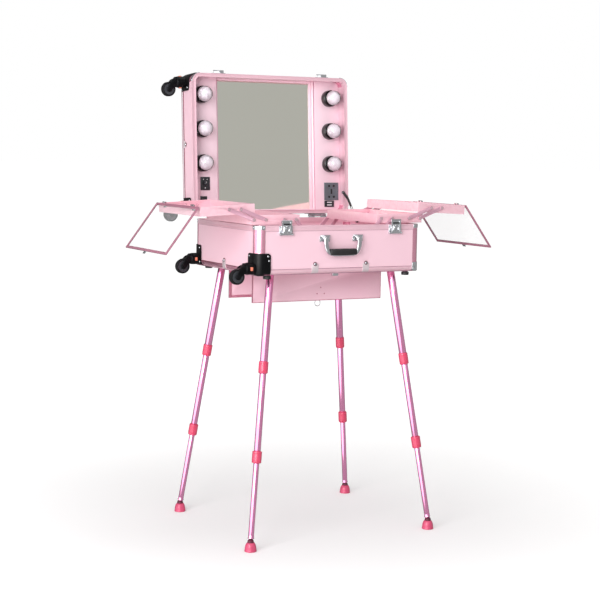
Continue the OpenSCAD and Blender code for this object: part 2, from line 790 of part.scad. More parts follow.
// The two raised lamp boards, their sides, and the board and trim that hold the mirror
module lamp_boards() {
    color(board_pink) lid_box() {
        translate([0, 0, board_z]) linear_extrude(lamp_t) intersection() {
            inner_outline();
            for (s = [-1, 1]) translate([s * (lamp_x + 60), 0]) square([120, case_d], center = true);
        }
        translate([0, 0, mirror_z - back_t]) linear_extrude(back_t) intersection() {
            inner_outline();
            square([2 * lamp_x, case_d], center = true);
        }
        translate([0, 0, mirror_z]) linear_extrude(board_z - mirror_z + eps) intersection() {
            inner_outline();
            for (s = [-1, 1]) translate([s * (lamp_x - lamp_t / 2), 0]) square([lamp_t, case_d], center = true);
        }
        translate([0, 0, mirror_z]) linear_extrude(mirror_t + 2) for (s = [-1, 1])
            translate([s * (lamp_x - lamp_t - mirror_side / 2), 0])
                square([mirror_side, case_d - 2 * inner_wall], center = true);
        translate([0, 0, mirror_z]) linear_extrude(mirror_t + 2) for (s = [-1, 1])
            translate([0, s * (case_d / 2 - inner_wall - 3)]) square([2 * (lamp_x - lamp_t), 6], center = true);
    }
}

mirror_side = trim_w - lamp_t;
mirror_half = lamp_x - trim_w;

module mirror_glass() {
    color("#b4b8ae") in_lid()
        translate([-mirror_half, mirror_y, inner_wall + 6]) cube([2 * mirror_half, mirror_t, case_d - 2 * inner_wall - 12]);
}

globe_y = lamp_y - socket_h - 14;
lamp_col = case_w / 2 - lamp_in;
lamp_pitch = (case_d - lamp_top - lamp_z0) / 2;

// Puts a piece on each lamp's axis, its z running forward out of the lid from depth y
module at_lamps(y) {
    in_lid() for (s = [-1, 1], i = [0:2])
        translate([s * lamp_col, y, lamp_z0 + i * lamp_pitch]) rotate([90, 0, 0]) children();
}

module lamp_sockets() {
    color(black_plastic) at_lamps(lamp_y) difference() {
        union() {
            cylinder(r = socket_r, h = socket_h - 3);
            cylinder(r = socket_r - 2, h = socket_h);
        }
        translate([0, 0, lamp_y - globe_y]) sphere(globe_r + 0.3);
        translate([0, 0, 3]) cylinder(r = 9, h = socket_h);
    }
}

module lamp_bulbs() {
    color("white") at_lamps(globe_y) {
        sphere(globe_r);
        translate([0, 0, -lamp_y + globe_y + 3]) cylinder(r = 9 - 0.3, h = lamp_y - globe_y - 3);
    }
}

// The plates on the lamp boards: the middle of the dimmer's, the others by their lower left corner
dimmer_at = [lamp_in + 10 - case_w / 2, 1.68 * outlet_h];
inlet_at = [dimmer_at[0] - 0.75 * inlet_w, dimmer_at[1] - 1.35 * dimmer_h];
outlet_at = [case_w / 2 - lamp_in - 0.4 * outlet_w, ports_h + 21];
ports_at = [outlet_at[0] + 0.5, 19.6];
well_r = 0.38 * outlet_w;

// The dimmer's plate and the mains inlet on the left board; the outlet and the charging ports on the right
module power_panels() {
    color(black_plastic) in_lid() {
        translate([dimmer_at[0], lamp_y - 2, dimmer_at[1]]) difference() {
            translate([-dimmer_w / 2, 0, -dimmer_h / 2]) cube([dimmer_w, 2, dimmer_h]);
            translate([0, -1, 0]) rotate([-90, 0, 0]) cylinder(r = 2 + run_gap, h = 4);
        }
        translate([inlet_at[0], lamp_y - 2, inlet_at[1]]) difference() {
            cube([inlet_w, 2, inlet_h]);
            translate([4, -1, 4]) cube([inlet_w - 8, 1.6, inlet_h - 8]);
        }
        translate([outlet_at[0], lamp_y - 3, outlet_at[1]]) difference() {
            cube([outlet_w, 3, outlet_h]);
            translate([outlet_w / 2, 0, outlet_h / 2]) {
                translate([0, -1, 0]) rotate([-90, 0, 0]) cylinder(r = well_r, h = 1.5);
                for (x = [-8, 8], z = [-9, 9])
                    translate([x, 0, z]) rotate([-90, 0, 0]) cylinder(r = 2.6, h = 2.4);
                translate([-2, 0, -5.5]) cube([4, 2.4, 11]);
            }
        }
        translate([ports_at[0], lamp_y - 2, ports_at[1]]) difference() {
            cube([ports_w, 2, ports_h]);
            for (z = [4, 12]) translate([7, -1, z]) cube([ports_w - 14, 2.2, 4.5]);
        }
    }
}

module dimmer_knob() {
    color(black_plastic) in_lid() translate([dimmer_at[0], lamp_y - 2 - seat_gap, dimmer_at[1]]) rotate([90, 0, 0]) {
        difference() {
            cylinder(r = 7, h = 8);
            translate([-0.8, 1.5, 7]) cube([1.6, 8, 2]);
        }
        translate([0, 0, -2]) cylinder(r = 2, h = 3);
    }
}

bail_r = 2.5;
bail_x = handle_x - 5;
bail_rod_r = 4.5;

// The handle's chrome bail, hanging from its two pivots
module handle_bail() {
    color(chrome_grey) at_case() translate([0, handle_y, handle_z]) {
        for (s = [-1, 1]) {
            translate([s * handle_x, 0, 0]) rotate([0, 90, 0]) cylinder(r = bail_r, h = 2 * ear_half + 5, center = true);
            translate([s * handle_x, 0, 0]) rotate([0, 90, 0]) cylinder(r = 5, h = 2 * ear_half - 0.8, center = true);
            hull() {
                translate([s * handle_x, 0, 0]) rotate([0, 90, 0])
                    cylinder(r = 4.5, h = 2 * ear_half - 0.8, center = true, $fn = 32);
                translate([s * handle_x, 0, -grip_drop * 0.55]) rotate([0, 90, 0])
                    cylinder(r = 6, h = 7, center = true, $fn = 32);
            }
            hull() {
                translate([s * handle_x, 0, -grip_drop * 0.55]) rotate([0, 90, 0])
                    cylinder(r = 6, h = 7, center = true, $fn = 32);
                translate([s * (grip_half + 2.5), 0, -grip_drop]) rotate([0, 90, 0])
                    cylinder(r = 8, h = 5, center = true, $fn = 32);
            }
        }
        translate([0, 0, -grip_drop]) rotate([0, 90, 0]) cylinder(r = bail_rod_r, h = 2 * grip_half + 2, center = true);
    }
}

module handle_grip() {
    color(black_plastic) at_case() translate([0, handle_y, handle_z - grip_drop]) rotate([0, 90, 0]) difference() {
        union() {
            cylinder(r = grip_r, h = 2 * grip_half, center = true);
            for (i = [-3:3]) translate([0, 0, i * grip_half / 4.2]) cylinder(r = grip_r + 0.8, h = 5, center = true);
        }
        cylinder(r = bail_rod_r + 0.05, h = 2 * grip_half + 2, center = true);
    }
}

// Draw latch lever, standing open above the rim; s = -1 or 1 picks the side
module latch(s) {
    w = latch_w - 10;
    color(chrome_grey) at_case() translate([s * latch_x, latch_pin_y, latch_z]) difference() {
        union() {
            rotate([0, 90, 0]) cylinder(r = 3, h = w, center = true);
            translate([-w / 2, -3, 0]) cube([w, 2, 38]);
            translate([-w / 2, -3, 35.5]) cube([w, 7, 2.5]);
            translate([-w / 2, 2.5, 31]) cube([w, 1.5, 7]);
            translate([-w / 2 + 5, -4.2, 6]) cube([w - 10, 2, 16]);
        }
        rotate([0, 90, 0]) cylinder(r = latch_pin_r + run_gap, h = w + 2, center = true);
        translate([-w / 2 + 5, -5, 26]) cube([w - 10, 3.3, 5]);
    }
}

// Trays and arms, drawn for the +X side
module on_side(s) {
    at_case() {
        if (s > 0) children();
        else mirror([1, 0, 0]) children();
    }
}

tray_mid = (tray_front + tray_back) / 2;

// Repeats a piece drawn at the front of the trays at their back
module both_ends() {
    children();
    translate([0, 2 * tray_mid, 0]) mirror([0, 1, 0]) children();
}

// An L bracket on the case floor for each side, one ear in front and one behind
module tray_brackets() {
    color(arm_pink) for (s = [-1, 1]) on_side(s) {
        translate([case_rivet_x - 12, ear_y, floor_z + floor_t])
            cube([arm_pitch + 24, 2 * (tray_mid - ear_y), ear_t]);
        both_ends() translate([0, ear_y + ear_t, 0]) rotate([90, 0, 0]) linear_extrude(ear_t) difference() {
            union() {
                translate([case_rivet_x - 12, floor_z + floor_t])
                    square([arm_pitch + 24, case_rivet_z - floor_z - floor_t]);
                bar_shape([case_rivet_x, case_rivet_z], [case_rivet_x + arm_pitch, case_rivet_z], 9);
            }
            for (i = [0, 1]) translate([case_rivet_x + i * arm_pitch, case_rivet_z]) circle(rivet_r + run_gap);
        }
    }
}

// A tray arm from point a to point b with its rivets; the one at b goes through the tray wall,
// the one at a through the same wall (0) or the fixed ear in front of it (1)
module tray_arm(a, b, to_ear) {
    shank = tray_t + part_gap + 0.3;
    both_ends() {
        translate([0, arm_y + arm_t, 0]) rotate([90, 0, 0]) linear_extrude(arm_t) bar_shape(a, b, arm_w / 2);
        for (p = to_ear ? [b] : [a, b]) translate([p[0], arm_y, p[1]]) rotate([-90, 0, 0]) {
            cylinder(r = rivet_r, h = arm_t + shank + head_t);
            translate([0, 0, -head_t]) cylinder(r = head_r, h = head_t);
            translate([0, 0, arm_t + shank]) cylinder(r = head_r, h = head_t);
        }
        if (to_ear) translate([a[0], ear_y, a[1]]) rotate([-90, 0, 0]) {
            cylinder(r = rivet_r, h = ear_t + part_gap + arm_t);
            translate([0, 0, ear_t + part_gap + arm_t]) cylinder(r = head_r, h = head_t);
        }
    }
}

module lower_arm(s, i) {
    d = [i * arm_pitch, 0];
    color(arm_pink) on_side(s) tray_arm([case_rivet_x, case_rivet_z] + d, [low_rivet_x, rivet_z] + d, true);
}

module upper_arm(s, i) {
    d = [i * arm_pitch, 0];
    color(arm_pink) on_side(s) tray_arm([up_base_x, rivet_z] + d, [up_rivet_x, up_rivet_z] + d, false);
}

// An open sheet tray with its inner end at x = 0 and its bottom at z = 0
module tray_box(w) {
    translate([0, tray_front, 0]) difference() {
        cube([w, tray_d, tray_h]);
        translate([tray_t, tray_t, tray_t]) cube([w - 2 * tray_t, tray_d - 2 * tray_t, tray_h]);
    }
}

module rivet_hole(x, r, rise = 0) {
    translate([x, tray_front - 1, tray_h / 2 + rise]) rotate([-90, 0, 0]) cylinder(r = r, h = tray_d + 2);
}

module lower_tray(s) {
    color(tray_pink) on_side(s) translate([lower_x0, 0, lower_z]) difference() {
        tray_box(lower_w);
        for (x = [lower_rivet_in, up_base_x - lower_x0], i = [0, 1]) rivet_hole(x + i * arm_pitch, rivet_r + run_gap);
    }
}

// The upper tray's own frame: x from its inner end, z from its bottom
module at_upper(s) {
    on_side(s) translate([up_rivet_x, 0, up_rivet_z]) rotate([0, tray_droop, 0])
        translate([-upper_in, 0, -tray_h / 2]) children();
}

hinge_r = 2.8;

module upper_tray(s) {
    at_upper(s) {
        color(tray_pink) difference() {
            tray_box(upper_w);
            rivet_hole(upper_in, rivet_r + run_gap);
            rivet_hole(upper_in + arm_pitch, rivet_r + upper_rise + 0.4, upper_rise);
        }
        color(chrome_grey) both_ends() translate([0, tray_front + clip_y, 0]) {
            translate([upper_w, -9, tray_h - 12]) cube([1.2, 18, 12]);
            for (y = [-9, 4]) {
                translate([upper_w, y, tray_h - 4]) cube([cover_axis_x - upper_w, 5, cover_axis_z - tray_h + 4]);
                translate([cover_axis_x, y, cover_axis_z]) rotate([-90, 0, 0]) cylinder(r = hinge_r, h = 5);
            }
            translate([cover_axis_x, -9, cover_axis_z]) rotate([-90, 0, 0]) cylinder(r = cover_pin_r, h = 18);
        }
    }
}

// The hanging cover's frame: x runs from the hinge pin to the free edge
module at_cover(s) {
    at_upper(s) translate([cover_axis_x, 0, cover_axis_z]) rotate([0, cover_hang, 0]) children();
}

module cover_sheet(s) {
    color([0.93, 0.95, 0.95, 0.4]) at_cover(s)
        translate([cover_gap + cover_bar - 2, tray_mid - cover_len / 2 + cover_bar - 2, -sheet_t / 2])
            cube([cover_w - 2 * cover_bar + 4, cover_len - 2 * cover_bar + 4, sheet_t]);
}

module cover_frame(s) {
    at_cover(s) {
        color(cover_mauve) translate([cover_gap, tray_mid - cover_len / 2, -cover_t / 2]) difference() {
            cube([cover_w, cover_len, cover_t]);
            translate([cover_bar, cover_bar, -1]) cube([cover_w - 2 * cover_bar, cover_len - 2 * cover_bar, cover_t + 2]);
            translate([cover_bar - 2, cover_bar - 2, (cover_t - sheet_t) / 2])
                cube([cover_w - 2 * cover_bar + 4, cover_len - 2 * cover_bar + 4, sheet_t]);
        }
        color(chrome_grey) {
            both_ends() translate([0, tray_front + clip_y, 0]) difference() {
                union() {
                    rotate([90, 0, 0]) cylinder(r = hinge_r, h = 7.4, center = true);
                    translate([0, -3.7, -cover_t / 2]) cube([cover_gap, 7.4, cover_t]);
                }
                rotate([90, 0, 0]) cylinder(r = cover_pin_r + run_gap, h = 9, center = true);
            }
            translate([cover_gap + cover_w, tray_mid - 8, -1]) cube([8, 16, 1.2]);
        }
    }
}

base_walls();
base_frame();
base_bottom();
case_floor();
base_corners();
base_hardware();
rubber_feet();
case_hinge();
base_caster_brackets();
leg_upper_sections();
tray_brackets();
lid_walls();
lid_frame();
lid_corners();
lamp_boards();
mirror_glass();  // mirror
lamp_sockets();
lamp_bulbs();
power_panels();
dimmer_knob();
lid_caster_brackets();
lid_stay();
handle_bail();
handle_grip();
latch(-1);  // left_latch
latch(1);  // right_latch
caster_fork(0);  // base_front_fork
caster_fork(1);  // base_rear_fork
caster_fork(2);  // lid_top_fork
caster_fork(3);  // lid_bottom_fork
caster_wheel(0);  // base_front_wheel
caster_wheel(1);  // base_rear_wheel
caster_wheel(2);  // lid_top_wheel
caster_wheel(3);  // lid_bottom_wheel
leg_middle(-1, -1);  // front_left_leg_middle
leg_middle(1, -1);  // front_right_leg_middle
leg_middle(-1, 1);  // rear_left_leg_middle
leg_middle(1, 1);  // rear_right_leg_middle
leg_lower(-1, -1);  // front_left_leg_lower
leg_lower(1, -1);  // front_right_leg_lower
leg_lower(-1, 1);  // rear_left_leg_lower
leg_lower(1, 1);  // rear_right_leg_lower
door(-1);  // front_door
door(1);  // rear_door
lower_arm(-1, 0);  // left_lower_arm_inner
lower_arm(-1, 1);  // left_lower_arm_outer
lower_tray(-1);  // left_lower_tray
upper_arm(-1, 0);  // left_upper_arm_inner
upper_arm(-1, 1);  // left_upper_arm_outer
upper_tray(-1);  // left_upper_tray
cover_frame(-1);  // left_cover_frame
cover_sheet(-1);  // left_cover_sheet
lower_arm(1, 0);  // right_lower_arm_inner
lower_arm(1, 1);  // right_lower_arm_outer
lower_tray(1);  // right_lower_tray
upper_arm(1, 0);  // right_upper_arm_inner
upper_arm(1, 1);  // right_upper_arm_outer
upper_tray(1);  // right_upper_tray
cover_frame(1);  // right_cover_frame
cover_sheet(1);  // right_cover_sheet
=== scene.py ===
import math

import bmesh
import bpy
from mathutils import Matrix, Quaternion, Vector


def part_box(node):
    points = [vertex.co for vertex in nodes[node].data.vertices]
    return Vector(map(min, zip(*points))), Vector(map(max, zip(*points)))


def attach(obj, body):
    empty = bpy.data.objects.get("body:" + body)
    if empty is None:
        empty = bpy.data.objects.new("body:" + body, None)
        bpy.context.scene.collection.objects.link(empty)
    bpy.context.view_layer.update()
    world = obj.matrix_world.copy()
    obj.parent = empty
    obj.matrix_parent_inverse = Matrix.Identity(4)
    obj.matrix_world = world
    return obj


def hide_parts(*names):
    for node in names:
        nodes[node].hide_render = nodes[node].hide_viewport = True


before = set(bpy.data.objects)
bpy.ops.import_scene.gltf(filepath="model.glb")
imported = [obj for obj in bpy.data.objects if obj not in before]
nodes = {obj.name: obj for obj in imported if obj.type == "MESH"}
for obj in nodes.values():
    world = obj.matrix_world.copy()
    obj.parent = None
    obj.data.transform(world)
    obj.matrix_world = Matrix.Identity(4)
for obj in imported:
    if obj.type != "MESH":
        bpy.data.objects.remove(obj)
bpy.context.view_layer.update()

# ---- The studio ----
# A white floor without an edge, a long lens at the height of the open lid, a tall soft box on
# the left that draws the white lines on posts and legs, one in front and a panel overhead.
camera_spot = Vector((-2.02529, -3.80658, 1.11369))
look_at = Vector((-0.01736, -0.03209, 0.6636))
camera_roll = math.radians(0.8815)
camera_data = bpy.data.cameras.new("long_lens")
camera_data.lens = 87.483
camera_data.sensor_width = 36
camera = bpy.data.objects.new("long_lens", camera_data)
camera.rotation_mode = "QUATERNION"
camera.location = camera_spot
camera.rotation_quaternion = (look_at - camera_spot).to_track_quat("-Z", "Y") @ Quaternion(
    (0, 0, 1), camera_roll
)
scene = bpy.context.scene
scene.collection.objects.link(camera)
scene.camera = camera
scene.view_settings.view_transform = "Standard"

world_glow = 0.5
mirrored_wall = 1.9
mirrored_room = 0.28
# The floor glows less near the middle: a painted shadow round the case that fades to white further out.
lift_in_painted_shade, lift_far = 0.22, 0.66
painted_shade_start, painted_shade_end = 0.3, 2.2


def calculate(tree, operation, *parts):
    """A Math node on sockets and numbers."""
    node = tree.nodes.new("ShaderNodeMath")
    node.operation = operation
    for socket, part in zip(node.inputs, parts):
        if isinstance(part, (int, float)):
            socket.default_value = part
        else:
            tree.links.new(part, socket)
    return node.outputs[0]


def remap(tree, value, low, high, to_low, to_high, smooth=False):
    """A Map Range node on a value; the result is clamped to the new limits."""
    node = tree.nodes.new("ShaderNodeMapRange")
    node.interpolation_type = "SMOOTHSTEP" if smooth else "LINEAR"
    limits = {"From Min": low, "From Max": high, "To Min": to_low, "To Max": to_high}
    for label, number in limits.items():
        if isinstance(number, (int, float)):
            node.inputs[label].default_value = number
        else:
            tree.links.new(number, node.inputs[label])
    tree.links.new(value, node.inputs["Value"])
    return node.outputs["Result"]


def seen_rays(tree):
    """One where a ray comes straight from the camera or through clear plastic, else zero."""
    path = tree.nodes.new("ShaderNodeLightPath")
    return calculate(
        tree, "MAXIMUM", path.outputs["Is Camera Ray"], path.outputs["Is Transmission Ray"]
    )


world = bpy.data.worlds.new("studio")
world.use_nodes = True
scene.world = world
sky = world.node_tree
sky.nodes.clear()
seen_sky = sky.nodes.new("ShaderNodeBackground")
seen_sky.inputs["Strength"].default_value = 1
seen_sky.inputs["Color"].default_value = (1, 1, 1, 1)
lit_sky = sky.nodes.new("ShaderNodeBackground")
lit_sky.inputs["Color"].default_value = (1, 0.99, 0.985, 1)


def facing_share(direction, start, end, most):
    """A smooth share of the sky round a level direction, for what shiny parts mirror."""
    toward = sky.nodes.new("ShaderNodeVectorMath")
    toward.operation = "DOT_PRODUCT"
    toward.inputs[1].default_value = direction
    sky.links.new(sky.nodes.new("ShaderNodeTexCoord").outputs["Generated"], toward.inputs[0])
    return remap(sky, toward.outputs["Value"], start, end, 0, most, smooth=True)


# Shiny parts mirror a white wall on the left, a dim room behind and a grey one elsewhere.
mirrored = calculate(
    sky,
    "SUBTRACT",
    facing_share((-0.926, -0.372, 0), 0.60, 0.76, mirrored_wall),
    facing_share((0.47, 0.88, 0), 0.3, 0.8, mirrored_room),
)
glossy_ray = sky.nodes.new("ShaderNodeLightPath").outputs["Is Glossy Ray"]
sky.links.new(
    calculate(sky, "MULTIPLY_ADD", mirrored, glossy_ray, world_glow), lit_sky.inputs["Strength"]
)
sky_mix = sky.nodes.new("ShaderNodeMixShader")
sky_out = sky.nodes.new("ShaderNodeOutputWorld")
sky.links.new(seen_rays(sky), sky_mix.inputs[0])
sky.links.new(lit_sky.outputs[0], sky_mix.inputs[1])
sky.links.new(seen_sky.outputs[0], sky_mix.inputs[2])
sky.links.new(sky_mix.outputs[0], sky_out.inputs[0])

floor_form = bmesh.new()
bmesh.ops.create_circle(floor_form, cap_ends=True, segments=64, radius=80)
floor_mesh = bpy.data.meshes.new("studio_floor")
floor_form.to_mesh(floor_mesh)
floor_form.free()
floor = bpy.data.objects.new("studio_floor", floor_mesh)
scene.collection.objects.link(floor)
floor_paint = bpy.data.materials.new("floor_paint")
floor_paint.use_nodes = True
floor_tree = floor_paint.node_tree
floor_shader = floor_tree.nodes["Principled BSDF"]
floor_shader.inputs["Base Color"].default_value = (0.8, 0.8, 0.8, 1)
floor_shader.inputs["Roughness"].default_value = 0.9
floor_shader.inputs["Specular IOR Level"].default_value = 0
floor_shader.inputs["Emission Color"].default_value = (1, 1, 1, 1)
floor_spread = floor_tree.nodes.new("ShaderNodeVectorMath")
floor_spread.operation = "LENGTH"
floor_tree.links.new(
    floor_tree.nodes.new("ShaderNodeTexCoord").outputs["Object"], floor_spread.inputs[0]
)
# Lower glow near the middle of the floor: painted shadow.
lift_with_painted_shade = remap(
    floor_tree, floor_spread.outputs["Value"], painted_shade_start, painted_shade_end, lift_in_painted_shade, lift_far, smooth=True
)
floor_tree.links.new(
    calculate(floor_tree, "MULTIPLY", seen_rays(floor_tree), lift_with_painted_shade),
    floor_shader.inputs["Emission Strength"],
)
floor_mesh.materials.append(floor_paint)
floor.visible_glossy = False


def soft_box(name, spot, width, height, watts):
    """A rectangular soft light that faces the middle of the case."""
    lamp = bpy.data.lights.new(name, "AREA")
    lamp.shape = "RECTANGLE"
    lamp.size = width
    lamp.size_y = height
    lamp.energy = watts
    holder = bpy.data.objects.new(name, lamp)
    holder.location = spot
    holder.rotation_mode = "QUATERNION"
    holder.rotation_quaternion = (Vector((0, 0, 0.8)) - Vector(spot)).to_track_quat("-Z", "Y")
    scene.collection.objects.link(holder)


soft_box("left_box", (-2.8, -2.1, 1.6), 2.0, 2.6, 104)
soft_box("front_box", (0.0, -4.2, 2.8), 2.2, 1.6, 10)
soft_box("top_box", (0.3, 0.0, 3.4), 2.2, 1.6, 20)


# ---- Wall boards, bottoms and the inner floor ----
# Thin plywood covered on both sides with a pink laminate that has a soft sheen and the faint
# orange peel of pressed plastic. The boards sit in the grooves of the aluminium profiles.
def pigment(code):
    """The linear colour of a paint chip written as six hex digits."""
    channels = [int(code[i : i + 2], 16) / 255 for i in (0, 2, 4)]
    return tuple(c / 12.92 if c <= 0.04045 else ((c + 0.055) / 1.055) ** 2.4 for c in channels) + (1,)


def shader_group(name, inputs, outputs):
    """An empty shader node group with its named sockets, and its two end nodes."""
    group = bpy.data.node_groups.new(name, "ShaderNodeTree")
    for kind, label, value in inputs:
        socket = group.interface.new_socket(label, in_out="INPUT", socket_type="NodeSocket" + kind)
        socket.default_value = value
    for kind, label in outputs:
        group.interface.new_socket(label, in_out="OUTPUT", socket_type="NodeSocket" + kind)
    return group, group.nodes.new("NodeGroupInput"), group.nodes.new("NodeGroupOutput")


def blend_colour(tree, factor, first, second, mode="MIX"):
    """A colour Mix node; each part is a socket or a value."""
    node = tree.nodes.new("ShaderNodeMix")
    node.data_type = "RGBA"
    node.blend_type = mode
    for socket, part in ((node.inputs[0], factor), (node.inputs[6], first), (node.inputs[7], second)):
        if isinstance(part, bpy.types.NodeSocket):
            tree.links.new(part, socket)
        else:
            socket.default_value = part
    return node.outputs[2]


def noise_on(tree, place, size, detail=3.0):
    """A noise texture read at a place; size is a socket or a number."""
    node = tree.nodes.new("ShaderNodeTexNoise")
    node.inputs["Detail"].default_value = detail
    tree.links.new(place, node.inputs["Vector"])
    if isinstance(size, bpy.types.NodeSocket):
        tree.links.new(size, node.inputs["Scale"])
    else:
        node.inputs["Scale"].default_value = size
    return node.outputs["Fac"]


# Slow drift of the tone over a surface, as dye lots, handling and dust leave it.
tone_drift, drift_in, drift_out = shader_group(
    "tone_drift",
    [("Color", "Colour", (1, 1, 1, 1)), ("Float", "Depth", 0.06), ("Float", "Patch", 7.0)],
    [("Color", "Colour"), ("Float", "Value")],
)
drift_place = tone_drift.nodes.new("ShaderNodeTexCoord").outputs["Object"]
drift_value = noise_on(tone_drift, drift_place, drift_in.outputs["Patch"], 4)
drift_dark = calculate(tone_drift, "SUBTRACT", 1, drift_in.outputs["Depth"])
drift_shade = remap(tone_drift, drift_value, 0.3, 0.7, drift_dark, 1.0)
tone_drift.links.new(
    blend_colour(tone_drift, 1.0, drift_in.outputs["Colour"], drift_shade, "MULTIPLY"),
    drift_out.inputs["Colour"],
)
tone_drift.links.new(drift_value, drift_out.inputs["Value"])

# Fine grain, stretched along an axis for brushed and drawn metal or even for moulded plastic.
fine_grain, grain_in, grain_out = shader_group(
    "fine_grain",
    [("Vector", "Stretch", (1, 1, 1)), ("Float", "Fineness", 400.0)],
    [("Float", "Value")],
)
grain_place = fine_grain.nodes.new("ShaderNodeVectorMath")
grain_place.operation = "MULTIPLY"
fine_grain.links.new(
    fine_grain.nodes.new("ShaderNodeTexCoord").outputs["Object"], grain_place.inputs[0]
)
fine_grain.links.new(grain_in.outputs["Stretch"], grain_place.inputs[1])
fine_grain.links.new(
    noise_on(fine_grain, grain_place.outputs[0], grain_in.outputs["Fineness"], 2),
    grain_out.inputs["Value"],
)

# Rubbing and painted highlight: the outermost edges turn to the lighter edge colour in broken patches.
edge_wear_and_highlight, edge_light_in, edge_light_out = shader_group(
    "edge_wear_and_highlight",
    [("Color", "Colour", (1, 1, 1, 1)), ("Color", "Worn", (1, 1, 1, 1)), ("Float", "Amount", 0.3)],
    [("Color", "Colour"), ("Float", "Mask")],
)
sharp_edge = remap(
    edge_wear_and_highlight, edge_wear_and_highlight.nodes.new("ShaderNodeNewGeometry").outputs["Pointiness"], 0.52, 0.62, 0.0, 1.0
)
edge_light_place = edge_wear_and_highlight.nodes.new("ShaderNodeTexCoord").outputs["Object"]
edge_light_patch = remap(edge_wear_and_highlight, noise_on(edge_wear_and_highlight, edge_light_place, 90.0), 0.35, 0.6, 0.2, 1.0)
edge_light_mask = calculate(edge_wear_and_highlight, "MULTIPLY", sharp_edge, edge_light_patch)
edge_light_amount = calculate(edge_wear_and_highlight, "MULTIPLY", edge_light_mask, edge_light_in.outputs["Amount"])
edge_wear_and_highlight.links.new(
    blend_colour(edge_wear_and_highlight, edge_light_amount, edge_light_in.outputs["Colour"], edge_light_in.outputs["Worn"]),
    edge_light_out.inputs["Colour"],
)
edge_wear_and_highlight.links.new(edge_light_amount, edge_light_out.inputs["Mask"])


def use_group(tree, group, **values):
    """A shader group placed in a tree with its own values."""
    node = tree.nodes.new("ShaderNodeGroup")
    node.node_tree = group
    for label, value in values.items():
        node.inputs[label].default_value = value
    return node


def finish(
    name,
    colour,
    roughness,
    metallic=0.0,
    coat=0.0,
    drift=0.06,
    patch=7.0,
    stretch=(1, 1, 1),
    fineness=400.0,
    relief=0.15,
    spread=0.05,
    worn_and_lit_colour="ffffff",
    wear_and_highlight=0.0,
    **constants,
):
    """A surface with drifting tone, fine grain in its gloss and relief, and edges lightened by rubbing
    and by painted highlight.
    """
    material = bpy.data.materials.new(name)
    material.use_nodes = True
    tree = material.node_tree
    shader = tree.nodes["Principled BSDF"]
    shader.inputs["Metallic"].default_value = metallic
    shader.inputs["Coat Weight"].default_value = coat
    shader.inputs["Coat Roughness"].default_value = 0.12
    for label, value in constants.items():
        shader.inputs[label.replace("_", " ")].default_value = value
    tone = use_group(tree, tone_drift, Colour=pigment(colour), Depth=drift, Patch=patch)
    edge_lightening = use_group(tree, edge_wear_and_highlight, Worn=pigment(worn_and_lit_colour), Amount=wear_and_highlight)
    grain = use_group(tree, fine_grain, Stretch=stretch, Fineness=fineness)
    tree.links.new(tone.outputs["Colour"], edge_lightening.inputs["Colour"])
    tree.links.new(edge_lightening.outputs["Colour"], shader.inputs["Base Color"])
    tree.links.new(
        remap(tree, grain.outputs["Value"], 0.3, 0.7, roughness - spread, roughness + spread),
        shader.inputs["Roughness"],
    )
    bump = tree.nodes.new("ShaderNodeBump")
    bump.inputs["Strength"].default_value = relief
    bump.inputs["Distance"].default_value = 0.0004
    tree.links.new(grain.outputs["Value"], bump.inputs["Height"])
    tree.links.new(bump.outputs["Normal"], shader.inputs["Normal"])
    return material


def dress(material, *names):
    """Gives CAD nodes that keep their own shape a finished material."""
    for name in names:
        nodes[name].data.materials.clear()
        nodes[name].data.materials.append(material)


board_laminate = finish(
    "board_laminate", "f8cfdc", 0.34, coat=0.2, drift=0.03, patch=5, fineness=260, relief=0.1
)
dress(board_laminate, "base_walls", "base_bottom", "case_floor", "lid_walls")


# ---- Aluminium profiles of the base and the lid ----
# Extruded and anodised pink with a satin gloss: a rim channel, four quarter-round posts and a
# bottom edge. A shallow channel runs round the rim's face, and a groove along its top.
def loose_copy(node, keep=None):
    """The CAD node's own shape as a merged form without the inner lines of its flat faces."""
    form = bmesh.new()
    form.from_mesh(nodes[node].data)
    bmesh.ops.remove_doubles(form, verts=form.verts, dist=1e-5)
    if keep:
        gone = [face for face in form.faces if not keep(face.calc_center_median())]
        bmesh.ops.delete(form, geom=gone, context="FACES")
    bmesh.ops.dissolve_limit(
        form,
        angle_limit=math.radians(0.6),
        use_dissolve_boundaries=False,
        verts=form.verts,
        edges=form.edges,
        delimit={"NORMAL"},
    )
    return form


def ease_edges(form, width, segments=2, sharper_than=28):
    """Rounds off the sharp edges of a form, as tumbling, moulding or drawing leaves them."""
    sharp = [
        edge
        for edge in form.edges
        if len(edge.link_faces) == 2 and edge.calc_face_angle(0) > math.radians(sharper_than)
    ]
    bmesh.ops.bevel(
        form,
        geom=sharp,
        offset=width,
        segments=segments,
        profile=0.5,
        affect="EDGES",
        clamp_overlap=True,
        material=-1,
    )


def add_piece(name, form, materials, body, replaced=(), smooth_to=40):
    """Turns a finished form into a piece that rides on a CAD body."""
    mesh = bpy.data.meshes.new(name)
    form.to_mesh(mesh)
    form.free()
    for material in materials if isinstance(materials, (list, tuple)) else (materials,):
        mesh.materials.append(material)
    mesh.shade_smooth()
    mesh.set_sharp_from_angle(angle=math.radians(smooth_to))
    piece = bpy.data.objects.new(name, mesh)
    scene.collection.objects.link(piece)
    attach(piece, body)
    if replaced:
        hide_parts(*replaced)
    return piece


case_low, case_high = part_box("base_frame")
case_y = (case_low.y + case_high.y) / 2
half_w = (case_high.x - case_low.x) / 2
half_d = (case_high.y - case_low.y) / 2
base_h = case_high.z - case_low.z
lid_depth = 0.085
lid_lean = math.radians(3.6)
hinge_off = 0.006
rim_z = case_high.z

